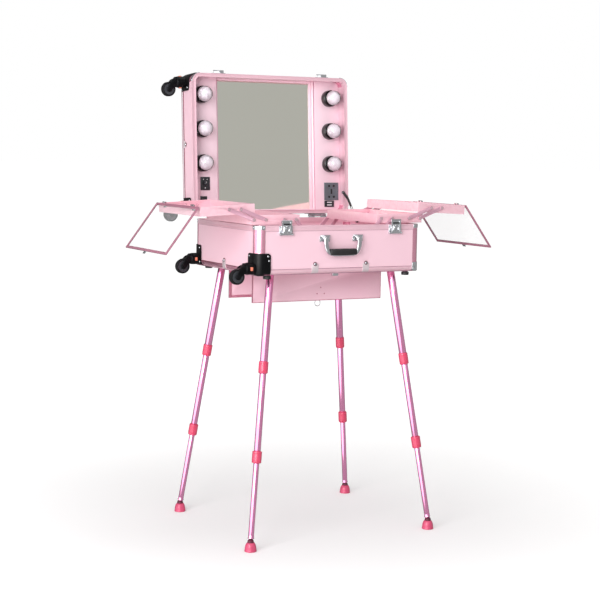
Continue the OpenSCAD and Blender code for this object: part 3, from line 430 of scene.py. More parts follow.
# Case frame: the middle of the base's underside. Lid frame: y into the lid from its rim, z up
# from its lower edge. Box frames stand either box on its closed end, rim up.
at_base = Matrix.Translation((0, case_y, case_low.z))
in_lid = (
    Matrix.Translation((0, case_y + half_d + hinge_off, rim_z + hinge_off))
    @ Matrix.Rotation(-lid_lean, 4, "X")
    @ Matrix.Translation((0, -hinge_off, hinge_off))
)
quarter_x = Matrix.Rotation(math.pi / 2, 4, "X")
quarter_y = Matrix.Rotation(math.pi / 2, 4, "Y")
at_lid_back = in_lid @ Matrix.Translation((0, lid_depth, half_d)) @ quarter_x

profile_satin = finish(
    "profile_satin", "f5c9d6", 0.32, metallic=0.3, coat=0.3, drift=0.05, patch=11, fineness=900,
    relief=0.04, spread=0.04, worn_and_lit_colour="fbe9ee", wear_and_highlight=0.12,
)
# The posts and the bottom band of both sides take a darker, glossier copy of the profile colour:
# painted shade on the same profile.
shaded_post_satin = finish(
    "shaded_post_satin", "e6a4ba", 0.2, metallic=0.75, coat=0.2, drift=0.04, patch=12, fineness=900,
    relief=0.04, spread=0.04, worn_and_lit_colour="fbe9ee", wear_and_highlight=0.12,
)
# Mauve of the joints, and of the painted shade line along the bottom edge.
seam_and_shade_mauve = finish("seam_and_shade_mauve", "a0667d", 0.45, drift=0.15, patch=40, fineness=900, relief=0.1)
# Near black: the joints over the sides' bottom band with painted shade, and the dark washers.
washer_dark_and_seam_shade = finish("washer_dark_and_seam_shade", "6a2a3c", 0.5, drift=0.15, patch=40, fineness=900, relief=0.1)


def channel(form, faces, shoulder, depth):
    """Sinks a run of faces, leaving a shoulder on both sides."""
    bmesh.ops.inset_region(
        form, faces=faces, thickness=shoulder, depth=-depth, use_boundary=True, use_even_offset=True
    )


def profile_frame(name, node, place, height, body):
    """The CAD profiles with the rim's side channel and top groove cut and all edges eased."""
    form = loose_copy(node)
    bmesh.ops.transform(form, matrix=place.inverted(), verts=form.verts)
    channel_low, channel_high = height - 0.0118, height - 0.0032
    for level in (channel_low, channel_high):
        bmesh.ops.bisect_plane(
            form,
            geom=form.verts[:] + form.edges[:] + form.faces[:],
            plane_co=(0, 0, level),
            plane_no=(0, 0, 1),
        )
    side = []
    for face in form.faces:
        middle = face.calc_center_median()
        outward = face.normal.x * middle.x + face.normal.y * middle.y
        upright = outward > 0 and abs(face.normal.z) < 0.1
        if upright and channel_low < middle.z < channel_high:
            side.append(face)
    channel(form, side, 0.0007, 0.0006)
    top = [f for f in form.faces if f.normal.z > 0.99 and f.calc_center_median().z > height - 0.0005]
    channel(form, top, 0.0034, 0.0014)
    ease_edges(form, 0.0005)
    # Posts and the sides' bottom band get the darker copy, painted shade.
    for face in form.faces:
        middle = face.calc_center_median()
        corner = abs(middle.x) > half_w - 0.0248 and abs(middle.y) > half_d - 0.0248
        shaded_side_band = middle.z < 0.0145 and abs(middle.x) > half_w - 0.003
        face.material_index = int(middle.z < height - 0.0152 and (corner or shaded_side_band))
    bmesh.ops.transform(form, matrix=place, verts=form.verts)
    add_piece(name, form, [profile_satin, shaded_post_satin], body, [node])


profile_frame("base_profiles", "base_frame", at_base, base_h, "base")
profile_frame("lid_profiles", "lid_frame", at_lid_back, lid_depth, "lid")


def block(form, low, high, ease=0.0, place=Matrix()):
    """A block between two corners, with eased edges."""
    low, high = Vector(low), Vector(high)
    size = high - low
    made = bmesh.ops.create_cube(
        form,
        size=1,
        matrix=place @ Matrix.Translation((low + high) / 2) @ Matrix.Diagonal((*size, 1)),
    )["verts"]
    if ease:
        edges = list({edge for vert in made for edge in vert.link_edges})
        bmesh.ops.bevel(
            form, geom=edges, offset=ease, segments=2, profile=0.5, affect="EDGES", material=-1
        )


def paint_new(form, count, index):
    """Gives every face made since a count another material."""
    form.faces.ensure_lookup_table()
    for face in form.faces[count:]:
        face.material_index = index


def seams(name, place, height, body):
    """The dark joint lines between the boards and the profiles, just proud of the boards, and painted
    shade lines.
    """
    form = bmesh.new()
    proud, back = -0.0004, -0.0016
    # From the bottom: a line along the bottom edge, painted shade of the underside; the joint over the
    # bottom band, taller and darker on the two sides as painted shade; the joint under the rim.
    for low, high, deep in (
        (0.0002, 0.0016, 0.0), (0.0140, 0.0153, 0.0007), (height - 0.0157, height - 0.0150, 0.0)
    ):
        for sy in (-1, 1):
            near, far = sorted((sy * (half_d + proud), sy * (half_d + back)))
            block(form, (0.0235 - half_w, near, low), (half_w - 0.0235, far, high), 0, place)
        count = len(form.faces)
        for sx in (-1, 1):
            near, far = sorted((sx * (half_w + proud), sx * (half_w + back)))
            block(form, (near, 0.0235 - half_d, low), (far, half_d - 0.0235, high + deep), 0, place)
        if deep:
            paint_new(form, count, 1)
    for sx in (-1, 1):
        for sy in (-1, 1):
            near, far = sorted((sy * (half_d + proud), sy * (half_d + back)))
            left, right = sorted((sx * (half_w - 0.0250), sx * (half_w - 0.0259)))
            block(form, (left, near, 0.014), (right, far, height - 0.015), 0, place)
            near, far = sorted((sx * (half_w + proud), sx * (half_w + back)))
            left, right = sorted((sy * (half_d - 0.0250), sy * (half_d - 0.0259)))
            block(form, (near, left, 0.014), (far, right, height - 0.015), 0, place)
    add_piece(name, form, [seam_and_shade_mauve, washer_dark_and_seam_shade], body)


seams("base_seams_and_shade", at_base, base_h, "base")
seams("lid_seams_and_shade", at_lid_back, lid_depth, "lid")

# ---- Chrome caps, clips and rivets of both boxes ----
# Pressed steel, chromed: corner caps round the rims, full caps on the lower right corners and
# clips over the closed ends, each held by domed rivets.
chrome = finish(
    "chrome", "c9ccd0", 0.1, metallic=1.0, drift=0.12, patch=40, fineness=900, relief=0.05,
    wear_and_highlight=0.15,
)


def rivet(form, spot, outward, radius=0.0026, height=0.0011):
    """A domed rivet head that stands on a surface."""
    turn = Vector(outward).to_track_quat("Z", "Y").to_matrix().to_4x4()
    bmesh.ops.create_uvsphere(
        form,
        u_segments=16,
        v_segments=8,
        radius=radius,
        matrix=Matrix.Translation(spot) @ turn @ Matrix.Diagonal((1, 1, height / radius, 1)),
    )


def turned(form, outline, place, steps=32):
    """Turns an outline of (radius, height) points about the local Z axis of a place."""
    corners = [form.verts.new(place @ Vector((radius, 0, height))) for radius, height in outline]
    edges = [form.edges.new(pair) for pair in zip(corners, corners[1:])]
    bmesh.ops.spin(
        form,
        geom=corners + edges,
        cent=place.translation,
        axis=place.to_3x3() @ Vector((0, 0, 1)),
        angle=2 * math.pi,
        steps=steps,
        use_merge=True,
    )


def close_form(form):
    """Merges seams and poles and turns every face outwards."""
    bmesh.ops.remove_doubles(form, verts=form.verts, dist=2e-6)
    bmesh.ops.recalc_face_normals(form, faces=form.faces)


def aim(spot, outward):
    """A place at a spot whose Z axis points outward."""
    return Matrix.Translation(spot) @ Vector(outward).to_track_quat("Z", "Y").to_matrix().to_4x4()


cap_skin = 0.0012
clip_x = 0.082
strap_pale = finish(
    "strap_pale", "e3d3d8", 0.35, metallic=0.35, coat=0.2, drift=0.1, patch=40, fineness=900
)


def box_fittings(name, node, place, height, body, keep=None):
    """The CAD's caps with eased edges, pale clip straps on dark washers, and rivets."""
    form = loose_copy(node, keep)
    ease_edges(form, 0.0003, 1)
    near_box = place.inverted()
    for face in form.faces:
        middle = near_box @ face.calc_center_median()
        front_clip = abs(abs(middle.x) - clip_x) < 0.02 and abs(middle.y) > half_d - 0.03
        side_clip = abs(middle.y) < 0.02 and abs(middle.x) > half_w - 0.03
        face.material_index = int(middle.z < 0.04 and (front_clip or side_clip))
    add_piece(name, form, [chrome, strap_pale], body, [node])
    studs = bmesh.new()
    face_x, face_y = half_w + cap_skin, half_d + cap_skin
    for sx in (-1, 1):
        for sy in (-1, 1):
            rivet(studs, (sx * (half_w - 0.022), sy * face_y, height - 0.0055), (0, sy, 0))
            rivet(studs, (sx * face_x, sy * (half_d - 0.022), height - 0.0055), (sx, 0, 0))
    for sy in (-1, 1):
        rivet(studs, (half_w - 0.0235, sy * face_y, 0.0205), (0, sy, 0))
        rivet(studs, (half_w - 0.0235, sy * face_y, 0.0085), (0, sy, 0))
        rivet(studs, (face_x, sy * (half_d - 0.0235), 0.0205), (1, 0, 0))
        rivet(studs, (face_x, sy * (half_d - 0.0235), 0.0085), (1, 0, 0))
    tabs = [((sx * clip_x, sy * face_y, 0.0275), (0, sy, 0)) for sx in (-1, 1) for sy in (-1, 1)]
    tabs += [((sx * face_x, 0, 0.0275), (sx, 0, 0)) for sx in (-1, 1)]
    count = len(studs.faces)
    for spot, outward in tabs:
        turned(
            studs,
            [(0, 0.0006), (0.0050, 0.0006), (0.0058, 0.0001), (0.0060, -0.0012), (0, -0.0012)],
            aim(spot, outward),
            24,
        )
    paint_new(studs, count, 1)
    for spot, outward in tabs:
        rivet(studs, Vector(spot) + 0.0006 * Vector(outward), outward, 0.0040, 0.0018)
    close_form(studs)
    bmesh.ops.transform(studs, matrix=place, verts=studs.verts)
    add_piece(name + "_rivets", studs, [chrome, washer_dark_and_seam_shade], body)


box_fittings("base_fittings", "base_corners", at_base, base_h, "base")
box_fittings("lid_fittings", "lid_corners", at_lid_back, lid_depth, "lid")

# ---- Lid hinges and the hinges of the leg compartments ----
# Rolled steel knuckles on a pin, zinc plated and dull beside the chrome.
hinge_zinc = finish(
    "hinge_zinc", "b9bcc0", 0.3, metallic=1.0, drift=0.15, patch=30, fineness=800, relief=0.08
)
hinge_form = loose_copy("case_hinge")
ease_edges(hinge_form, 0.0003, 1)
add_piece("hinges", hinge_form, hinge_zinc, "base", ["case_hinge"])

# ---- Rubber pads under the base ----
# Four black moulded pads, each with a chamfered foot, that the closed case stands on.
black_rubber = finish(
    "black_rubber", "1f1f21", 0.62, drift=0.2, patch=50, fineness=1400, relief=0.4, spread=0.08
)
pad_form = bmesh.new()
for sx in (-1, 1):
    for sy in (-1, 1):
        turned(
            pad_form,
            [(0, -0.012), (0.0098, -0.012), (0.011, -0.0108), (0.011, -0.004), (0.0102, -0.003),
             (0.008, -0.003), (0.008, 0), (0, 0)],
            at_base @ Matrix.Translation((sx * (half_w - 0.04), sy * (half_d - 0.016), 0)),
        )
close_form(pad_form)
add_piece("pads", pad_form, black_rubber, "base", ["rubber_feet"])

# ---- Handle ----
# A chromed bail, one flat strip bent to a U that narrows under the grip, hangs from two flared
# mounts. The grip is black moulded rubber with long shallow flutes.
handle_x = 0.053
handle_out = 0.012
pivot_z = base_h - 0.039
grip_drop = 0.036
grip_half = 0.042


def loft(form, stations, sides=24, squareness=1.0):
    """Skins a row of (place, half width, half height) rings and closes both ends."""
    rings = []
    for number, (place, half_x, half_y) in enumerate(stations):
        ends = number in (0, len(stations) - 1)
        ring = bmesh.ops.create_circle(form, cap_ends=ends, segments=sides, radius=1)["verts"]
        for vert in ring:
            x, y = vert.co.x, vert.co.y
            vert.co.x = math.copysign(abs(x) ** squareness, x) * half_x
            vert.co.y = math.copysign(abs(y) ** squareness, y) * half_y
        bmesh.ops.transform(form, matrix=place, verts=ring)
        rings.append(ring)
    for first, second in zip(rings, rings[1:]):
        both = first + second
        loop = {edge for vert in both for edge in vert.link_edges if edge.other_vert(vert) in both}
        round_edges = [edge for edge in loop if (edge.verts[0] in first) == (edge.verts[1] in first)]
        bmesh.ops.bridge_loops(form, edges=round_edges)


def rod(form, start, end, radius, sides=20, place=Matrix()):
    """A round bar between two points."""
    start, end = place @ Vector(start), place @ Vector(end)
    bmesh.ops.create_cone(
        form,
        cap_ends=True,
        segments=sides,
        radius1=radius,
        radius2=radius,
        depth=(end - start).length,
        matrix=aim((start + end) / 2, end - start),
    )


pivot_place = at_base @ Matrix.Translation((0, -half_d - handle_out, pivot_z))
# Half of the bail as (x, z, half width in its own plane, half depth) from the pivot downwards.
bail_half = [
    (0.0530, 0.004, 0.0045, 0.0030),
    (0.0534, -0.002, 0.0058, 0.0034),
    (0.0538, -0.011, 0.0066, 0.0036),
    (0.0528, -0.020, 0.0066, 0.0038),
    (0.0498, -0.029, 0.0060, 0.0044),
    (0.0460, -0.0370, 0.0048, 0.0052),
    (0.0405, -0.0425, 0.0032, 0.0058),
    (0.0320, -0.0452, 0.0020, 0.0060),
    (0.0120, -0.0458, 0.0017, 0.0060),
]
bail_path = [(-x, *rest) for x, *rest in bail_half] + bail_half[::-1]
bail_stations = []
for number, (x, z, wide, deep) in enumerate(bail_path):
    before = bail_path[max(number - 1, 0)]
    after = bail_path[min(number + 1, len(bail_path) - 1)]
    along = Vector((after[0] - before[0], 0, after[1] - before[1])).normalized()
    across = along.cross(Vector((0, 1, 0)))
    turn = Matrix((across, Vector((0, 1, 0)), along)).transposed().to_4x4()
    bail_stations.append((pivot_place @ Matrix.Translation((x, 0, z)) @ turn, wide, deep))
bail_form = bmesh.new()
loft(bail_form, bail_stations, 20, 0.7)
for sx in (-1, 1):
    rod(bail_form, (sx * 0.0470, 0, 0), (sx * 0.0590, 0, 0), 0.0024, 20, pivot_place)
core_end = grip_half + 0.003
rod(bail_form, (-core_end, 0, -grip_drop), (core_end, 0, -grip_drop), 0.0044, 20, pivot_place)
close_form(bail_form)
add_piece("bail", bail_form, chrome, "handle", ["handle_bail"], 50)

grip_form = bmesh.new()
grip_ring = [
    (-1.0, 0.86), (-0.97, 1.0), (-0.5, 1.02), (0, 1.03), (0.5, 1.02), (0.97, 1.0), (1.0, 0.86)
]
loft(
    grip_form,
    [
        (
            pivot_place @ Matrix.Translation((share * grip_half, 0, -grip_drop)) @ quarter_y,
            0.0090 * size,
            0.0088 * size,
        )
        for share, size in grip_ring
    ],
    32,
    0.62,
)
close_form(grip_form)
for level in (-0.0048, 0.0, 0.0048):
    for sy in (-1, 1):
        spot = pivot_place @ Vector((0, sy * 0.0092, -grip_drop + level))
        block(
            grip_form,
            spot - Vector((grip_half * 0.9, 0.0006, 0.0009)),
            spot + Vector((grip_half * 0.9, 0.0006, 0.0009)),
            0.0005,
        )
add_piece("grip", grip_form, black_rubber, "handle", ["handle_grip"], 50)


def is_mount(spot):
    """True on the CAD's plain handle mounts, which the flared ones stand in for."""
    return abs(abs(spot.x) - handle_x) < 0.02 and spot.y < case_y - 0.19


hardware_form = loose_copy("base_hardware", lambda spot: not is_mount(spot))
ease_edges(hardware_form, 0.0003, 1)
add_piece("base_hardware_dressed", hardware_form, chrome, "base", ["base_hardware"])

mount_form = bmesh.new()
for sx in (-1, 1):
    hood = pivot_place @ Matrix.Translation((sx * handle_x, 0, 0))
    # (height above the pivot, distance forward from the panel, half width, half depth)
    flare = [
        (0.0122, 0.0030, 0.0150, 0.0012),
        (0.0112, 0.0036, 0.0164, 0.0030),
        (0.0088, 0.0044, 0.0150, 0.0042),
        (0.0060, 0.0060, 0.0112, 0.0056),
        (0.0020, 0.0082, 0.0084, 0.0068),
        (-0.0030, 0.0092, 0.0078, 0.0066),
        (-0.0060, 0.0096, 0.0066, 0.0040),
    ]
    loft(
        mount_form,
        [
            (hood @ Matrix.Translation((0, handle_out - forward, up)), wide, deep)
            for up, forward, wide, deep in flare
        ],
        28,
        0.8,
    )
    block(
        mount_form, (-0.0165, handle_out - 0.0015, -0.007), (0.0165, handle_out, 0.0085), 0.0006, hood
    )
    for rx in (-0.0125, 0.0125):
        rivet(mount_form, hood @ Vector((rx, handle_out - 0.0016, -0.002)), (0, -1, 0), 0.0022, 0.0012)
close_form(mount_form)
add_piece("handle_mounts", mount_form, chrome, "base", (), 50)

# ---- Draw latches ----
# Pressed and chromed: a lever with a rolled top bar over a slot filled with a dark sheet of painted
# shade, and an embossed oval boss with ribs, standing open on its riveted base plate.
latch_x = half_w - 0.088
latch_pin = Vector((0, -half_d - 0.005, base_h - 0.024))
# Near black: painted shade in the latch slots, and the outlet's dark shutters.
slot_shade_and_dark_shutters = finish("slot_shade_and_dark_shutters", "17181a", 0.5, drift=0.2, patch=60, fineness=900, relief=0.2)
for label, sx in (("left", -1), ("right", 1)):
    place = at_base @ Matrix.Translation((sx * latch_x, latch_pin.y, latch_pin.z))
    form = bmesh.new()
    rod(form, (-0.016, 0, 0), (0.016, 0, 0), 0.0029, 24, place)
    block(form, (-0.016, -0.0030, 0.001), (0.016, -0.0012, 0.0245), 0.0007, place)
    for ex in (-1, 1):
        block(
            form,
            (ex * 0.0135 - 0.0025, -0.0034, 0.002),
            (ex * 0.0135 + 0.0025, 0.0020, 0.0375),
            0.0009,
            place,
        )
    block(form, (-0.016, -0.0012, 0.030), (0.016, 0.0040, 0.038), 0.0012, place)
    rod(form, (-0.0158, -0.0014, 0.0366), (0.0158, -0.0014, 0.0366), 0.0026, 20, place)
    rod(form, (-0.0135, -0.0026, 0.0250), (0.0135, -0.0026, 0.0250), 0.0012, 16, place)
    turned(
        form,
        [(0, 0.0012), (0.0030, 0.0012), (0.0042, 0.0004), (0.0052, 0.0015), (0.0064, 0.0015),
         (0.0074, 0.0002), (0.0074, -0.001), (0, -0.001)],
        place
        @ Matrix.Translation((0, -0.0032, 0.0130))
        @ quarter_x
        @ Matrix.Diagonal((1.35, 1, 1, 1)),
        36,
    )
    for rib in (-0.0128, 0.0128):
        rod(form, (rib, -0.0036, 0.0045), (rib * 0.72, -0.0036, 0.0215), 0.0008, 10, place)
    close_form(form)
    # A dark sheet fills the slot under the top bar: painted shade of the opening.
    block(form, (-0.0112, -0.0008, 0.0248), (0.0112, 0.0006, 0.0305), 0.0, place)
    for face in form.faces:
        spots = [place.inverted() @ vert.co for vert in face.verts]
        if all(
            abs(x) < 0.01125 and -0.0009 < y < 0.0007 and 0.0247 < z < 0.0306 for x, y, z in spots
        ):
            face.material_index = 1
    add_piece(
        label + "_latch_lever", form, [chrome, slot_shade_and_dark_shutters], "latch_" + label,
        [label + "_latch"], 35,
    )
    plate = bmesh.new()
    for ex in (-1, 1):
        for up in (-0.0005, 0.0195):
            rivet(plate, place @ Vector((ex * 0.0186, 0.0034, up)), (0, -1, 0), 0.0019, 0.0010)
    add_piece(label + "_latch_rivets", plate, chrome, "base")

# ---- Caster brackets ----
# Moulded black corner cups that wrap the wheel side's edges, with rounded ears held by rivets,
# a swivel hub and a red orange release button in the side of the hub.
moulded_black = finish(
    "moulded_black", "08080a", 0.3, coat=0.0, drift=0.15, patch=30, fineness=1100, relief=0.2,
    worn_and_lit_colour="2c2d32", wear_and_highlight=0.4, Specular_IOR_Level=0.12,
)
button_orange = finish(
    "button_orange", "f2896c", 0.35, coat=0.3, drift=0.08, patch=80, fineness=900, relief=0.1
)
caster_in = 0.023
caster_up = 0.018
hub_r = 0.017
ear = 0.009
cup_edge_x = half_w - 0.042
cup_edge_y = half_d - 0.050


def caster_cups(name, node, place, body):
    """Both brackets of a box: rounded ears, hub rings, rivets and release buttons."""
    form = loose_copy(node)
    bmesh.ops.transform(form, matrix=place.inverted(), verts=form.verts)
    ears = [
        edge
        for edge in form.edges
        if edge.calc_length() < 0.0045
        and all(v.co.z > 0.0595 for v in edge.verts)
        and edge.calc_face_angle(0) > 1.3
        and (
            abs(edge.verts[0].co.x + cup_edge_x) < 0.001
            or abs(abs(edge.verts[0].co.y) - cup_edge_y) < 0.001
        )
    ]
    bmesh.ops.bevel(form, geom=ears, offset=ear, segments=6, profile=0.5, affect="EDGES", material=-1)
    ease_edges(form, 0.0009, 2, 35)
    bmesh.ops.transform(form, matrix=place, verts=form.verts)
    add_piece(name, form, moulded_black, body, [node])
    extras = bmesh.new()
    buttons = bmesh.new()
    side = -half_w - 0.003
    for sy in (-1, 1):
        front = sy * (half_d + 0.003)
        for spot, outward in (
            ((-half_w + 0.034, front, 0.0520), (0, sy, 0)),
            ((-half_w + 0.037, front, 0.0400), (0, sy, 0)),
            ((side, sy * (half_d - 0.042), 0.0520), (-1, 0, 0)),
            ((side, sy * (half_d - 0.044), 0.0100), (-1, 0, 0)),
        ):
            rivet(extras, place @ Vector(spot), place.to_3x3() @ Vector(outward), 0.0029, 0.0016)
        hub = place @ Matrix.Translation((-half_w, sy * (half_d - caster_in), caster_up))
        for middle in (-hub_r - 0.0002, hub_r + 0.0002):
            low, high = (-0.0155, middle - 0.0016, -0.0052), (-0.0080, middle + 0.0016, 0.0052)
            block(buttons, low, high, 0.0014, hub)
    close_form(extras)
    add_piece(name + "_rivets", extras, chrome, body)
    add_piece(name + "_buttons", buttons, button_orange, body)


caster_cups("base_cups", "base_caster_brackets", at_base, "base")
caster_cups("lid_cups", "lid_caster_brackets", at_lid_back, "lid")

# ---- Swivel forks and wheels ----
# A moulded fork turns in the hub, arches over the wheel as a fender and holds the axle between
# two round cheeks. The wheel is a grey black tyre on a ribbed core with a raised hub cap.
wheel_r = 0.0215
wheel_w = 0.016
reach = 0.029
drop = 0.022
tyre_black = finish(
    "tyre_black", "141416", 0.5, drift=0.2, patch=60, fineness=1200, relief=0.3, spread=0.07,
    worn_and_lit_colour="3a3a3e", wear_and_highlight=0.3, Specular_IOR_Level=0.12,
)
core_grey = finish("core_grey", "3c3e44", 0.3, coat=0.2, drift=0.12, patch=50, fineness=900)
# The neck and a cheek as (x, z, lean in degrees, half height, half width) from the swivel.
neck = [
    (-0.0030, 0.0015, -20, 0.0140, 0.0112),
    (-0.0080, 0.0030, -5, 0.0125, 0.0118),
    (-0.0140, 0.0022, 18, 0.0088, 0.0122),
    (-0.0200, 0.0004, 34, 0.0052, 0.0122),
    (-0.0262, -0.0006, 60, 0.0032, 0.0120),
    (-0.0330, -0.0012, 84, 0.0020, 0.0116),
]
cheek = [
    (-0.0040, 0.0010, 140, 0.0120, 0.0017),
    (-0.0120, -0.0020, 140, 0.0110, 0.0017),
    (-0.0200, -0.0090, 140, 0.0098, 0.0017),
    (-0.0262, -0.0170, 140, 0.0086, 0.0017),
    (-0.0290, -0.0220, 140, 0.0080, 0.0017),
]


def fork_rings(swivel, out, row):
    """The rings of a neck or cheek as places and half sizes, out to one side of the swivel."""
    return [
        (
            Matrix.Translation(swivel + Vector((x, out, z)))
            @ Matrix.Rotation(math.radians(lean) - math.pi / 2, 4, "Y"),
            tall,
            wide,
        )
        for x, z, lean, tall, wide in row
    ]


for caster in ("base_front", "base_rear", "lid_top", "lid_bottom"):
    wheel_low, wheel_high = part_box(caster + "_wheel")
    axle = (wheel_low + wheel_high) / 2
    swivel = axle + Vector((reach, 0, drop))
    fork = bmesh.new()
    turned(
        fork,
        [(0, 0.018), (0.005, 0.018), (0.005, -0.0003), (0.0158, -0.0003), (0.0164, -0.0012),
         (0.0160, -0.0046), (0.0140, -0.0062), (0, -0.0066)],
        aim(swivel, (1, 0, 0)),
        36,
    )
    loft(fork, fork_rings(swivel, 0, neck), 24, 0.75)
    for sy in (-1, 1):
        cheek_y = sy * (wheel_w / 2 + 0.0028)
        loft(fork, fork_rings(swivel, cheek_y, cheek), 16, 0.8)
        turned(
            fork,
            [(0, 0.0022), (0.0062, 0.0022), (0.0082, 0.0010), (0.0086, -0.0018), (0, -0.0018)],
            aim(axle + Vector((0, cheek_y, 0)), (0, sy, 0)),
            28,
        )
    rod(fork, axle - Vector((0, 0.012, 0)), axle + Vector((0, 0.012, 0)), 0.003, 20)
    close_form(fork)
    add_piece(caster + "_swivel_fork", fork, moulded_black, caster + "_swivel",
              [caster + "_fork"], 50)
    wheel = bmesh.new()
    half = wheel_w / 2
    turned(
        wheel,
        [(wheel_r - 0.0050, -half + 0.0002), (wheel_r - 0.0022, -half),
         (wheel_r - 0.0008, -half + 0.0010),
         (wheel_r, -half + 0.0035), (wheel_r, half - 0.0035), (wheel_r - 0.0008, half - 0.0010),
         (wheel_r - 0.0022, half), (wheel_r - 0.0050, half - 0.0002), (wheel_r - 0.0052, half - 0.0016),
         (wheel_r - 0.0052, -half + 0.0016), (wheel_r - 0.0050, -half + 0.0002)],
        aim(axle, (0, 1, 0)),
        48,
    )
    close_form(wheel)
    core = bmesh.new()
    turned(
        core,
        [(0.0031, -half), (0.0064, -half), (0.0070, -half + 0.0012), (0.0072, -half + 0.0022),
         (0.0145, -half + 0.0022), (0.0150, -half + 0.0010), (0.0162, -half + 0.0010),
         (0.0163, half - 0.0010), (0.0150, half - 0.0010), (0.0145, half - 0.0022),
         (0.0072, half - 0.0022), (0.0070, half - 0.0012), (0.0064, half), (0.0031, half),
         (0.0031, -half)],
        aim(axle, (0, 1, 0)),
        48,
    )
    close_form(core)
    add_piece(caster + "_tyre", wheel, tyre_black, caster + "_roller",
              [caster + "_wheel"], 50)
    add_piece(caster + "_core", core, core_grey, caster + "_roller", (), 40)

# ---- Telescopic legs ----
# Drawn aluminium tube in three sizes, anodised a magenta pink with a mirror like gloss, held by
# red pink twist collars. Each ends in a flared tip on the ball of a red pink rubber bell.
leg_anodised = finish(
    "leg_anodised", "f6a2cf", 0.16, metallic=0.92, coat=0.3, drift=0.05, patch=12,
    fineness=1200, relief=0.02, spread=0.03,
)
collar_plastic = finish(
    "collar_plastic", "e2476c", 0.34, coat=0.35, drift=0.08, patch=40, fineness=900, relief=0.15
)
foot_rubber = finish(
    "foot_rubber", "dd5078", 0.4, coat=0.25, drift=0.12, patch=50, fineness=1000, relief=0.2
)
neck_shadow = finish("neck_shadow", "5d1c33", 0.6, drift=0.2, patch=60, fineness=900)
leg_top = Vector((half_w - 0.068, half_d - 0.052, 0))
foot_spot = Vector((0.290, 0.246, 0))
ball_z = 0.026
collar_h = 0.033
overlap = 0.045
legs = {"front_left": (-1, -1), "front_right": (1, -1), "rear_left": (-1, 1), "rear_right": (1, 1)}


def tube(form, place, radius, start, stop, wall=0.0012):
    """A drawn tube along a leg with softened ends."""
    inner = radius - wall
    turned(
        form,
        [(inner, start), (radius - 0.0004, start), (radius, start + 0.0004), (radius, stop - 0.0004),
         (radius - 0.0004, stop), (inner, stop), (inner, start)],
        place,
        40,
    )


def collar(form, place, start, outer, inner):
    """A twist collar with a waist line near each end and finger flats between."""
    turned(
        form,
        [(outer, start), (0.0122, start), (0.0132, start + 0.0008), (0.0135, start + 0.0020),
         (0.0135, start + 0.0058), (0.0130, start + 0.0062), (0.0130, start + 0.0070),
         (0.0135, start + 0.0074), (0.0135, start + collar_h - 0.0074),
         (0.0130, start + collar_h - 0.0070), (0.0130, start + collar_h - 0.0062),
         (0.0135, start + collar_h - 0.0058), (0.0133, start + collar_h - 0.0020),
         (0.0124, start + collar_h - 0.0004), (0.0116, start + collar_h), (inner, start + collar_h),
         (inner, start + collar_h - 0.005), (outer, start + collar_h - 0.005), (outer, start)],
        place,
        40,
    )


def paint_part(form, maker, index, *sizes):
    """Makes one part of a leg section and gives its faces their material."""
    count = len(form.faces)
    maker(form, *sizes)
    paint_new(form, count, index)


socket_outline = [
    (0, -0.040), (0.0128, -0.040), (0.014, -0.0388), (0.014, -0.018), (0.0134, -0.0165),
    (0.0112, -0.016), (0.0112, -0.037), (0, -0.037),
]
ball_outline = [
    (0, -0.0095), (0.0045, -0.0085), (0.0080, -0.0050), (0.0094, 0.0), (0.0084, 0.0046),
    (0.0062, 0.0074), (0, 0.0078),
]
bell_outline = [
    (0, 0), (0.0162, 0), (0.0170, 0.0008), (0.0170, 0.0024), (0.0164, 0.0040), (0.0161, 0.0090),
    (0.0152, 0.0150), (0.0136, 0.0200), (0.0112, 0.0238), (0.0098, 0.0250), (0.0090, 0.0246),
    (0.0086, 0.0226), (0.0092, 0.0190), (0, 0.0190),
]
upper = bmesh.new()
for name, (sx, sy) in legs.items():
    top = at_base @ Vector((sx * leg_top.x, sy * leg_top.y, 0))
    ball = Vector((sx * foot_spot.x, case_y + sy * foot_spot.y, ball_z))
    down = ball - top
    length = down.length
    place = aim(top, down)
    first, second = 0.33 * length, 0.664 * length
    tip = length - 0.0095 + 0.0015
    # The flared tip, from the end of the tube over the ball.
    tip_outline = [
        (0, tip - 0.010), (0.0081, tip - 0.010), (0.0083, tip - 0.0045), (0.0091, tip - 0.0030),
        (0.0091, tip - 0.0018), (0.0084, tip - 0.0012), (0.0070, tip - 0.0010), (0, tip - 0.0010),
    ]
    grip_end = collar_h - 0.005
    paint_part(upper, tube, 0, place, 0.011, -0.037, first + grip_end)
    paint_part(upper, collar, 1, place, first, 0.011, 0.0096)
    paint_part(upper, turned, 2, socket_outline, place)
    middle = bmesh.new()
    paint_part(middle, tube, 0, place, 0.0095, first - overlap + collar_h, second + grip_end)
    paint_part(middle, collar, 1, place, second, 0.0095, 0.0081)
    add_piece(name + "_middle_section", middle, [leg_anodised, collar_plastic], name + "_middle",
              [name + "_leg_middle"], 50)
    lower = bmesh.new()
    paint_part(lower, tube, 0, place, 0.008, second - overlap + collar_h, tip - 0.004)
    paint_part(lower, turned, 0, tip_outline, place)
    paint_part(lower, turned, 2, ball_outline, Matrix.Translation(ball))
    paint_part(lower, turned, 1, bell_outline, Matrix.Translation((ball.x, ball.y, 0)), 44)
    add_piece(name + "_lower_section", lower, [leg_anodised, foot_rubber, neck_shadow], name + "_lower",
              [name + "_leg_lower"], 50)
add_piece("upper_leg_sections", upper, [leg_anodised, collar_plastic, hinge_zinc], "base",
          ["leg_upper_sections"], 50)

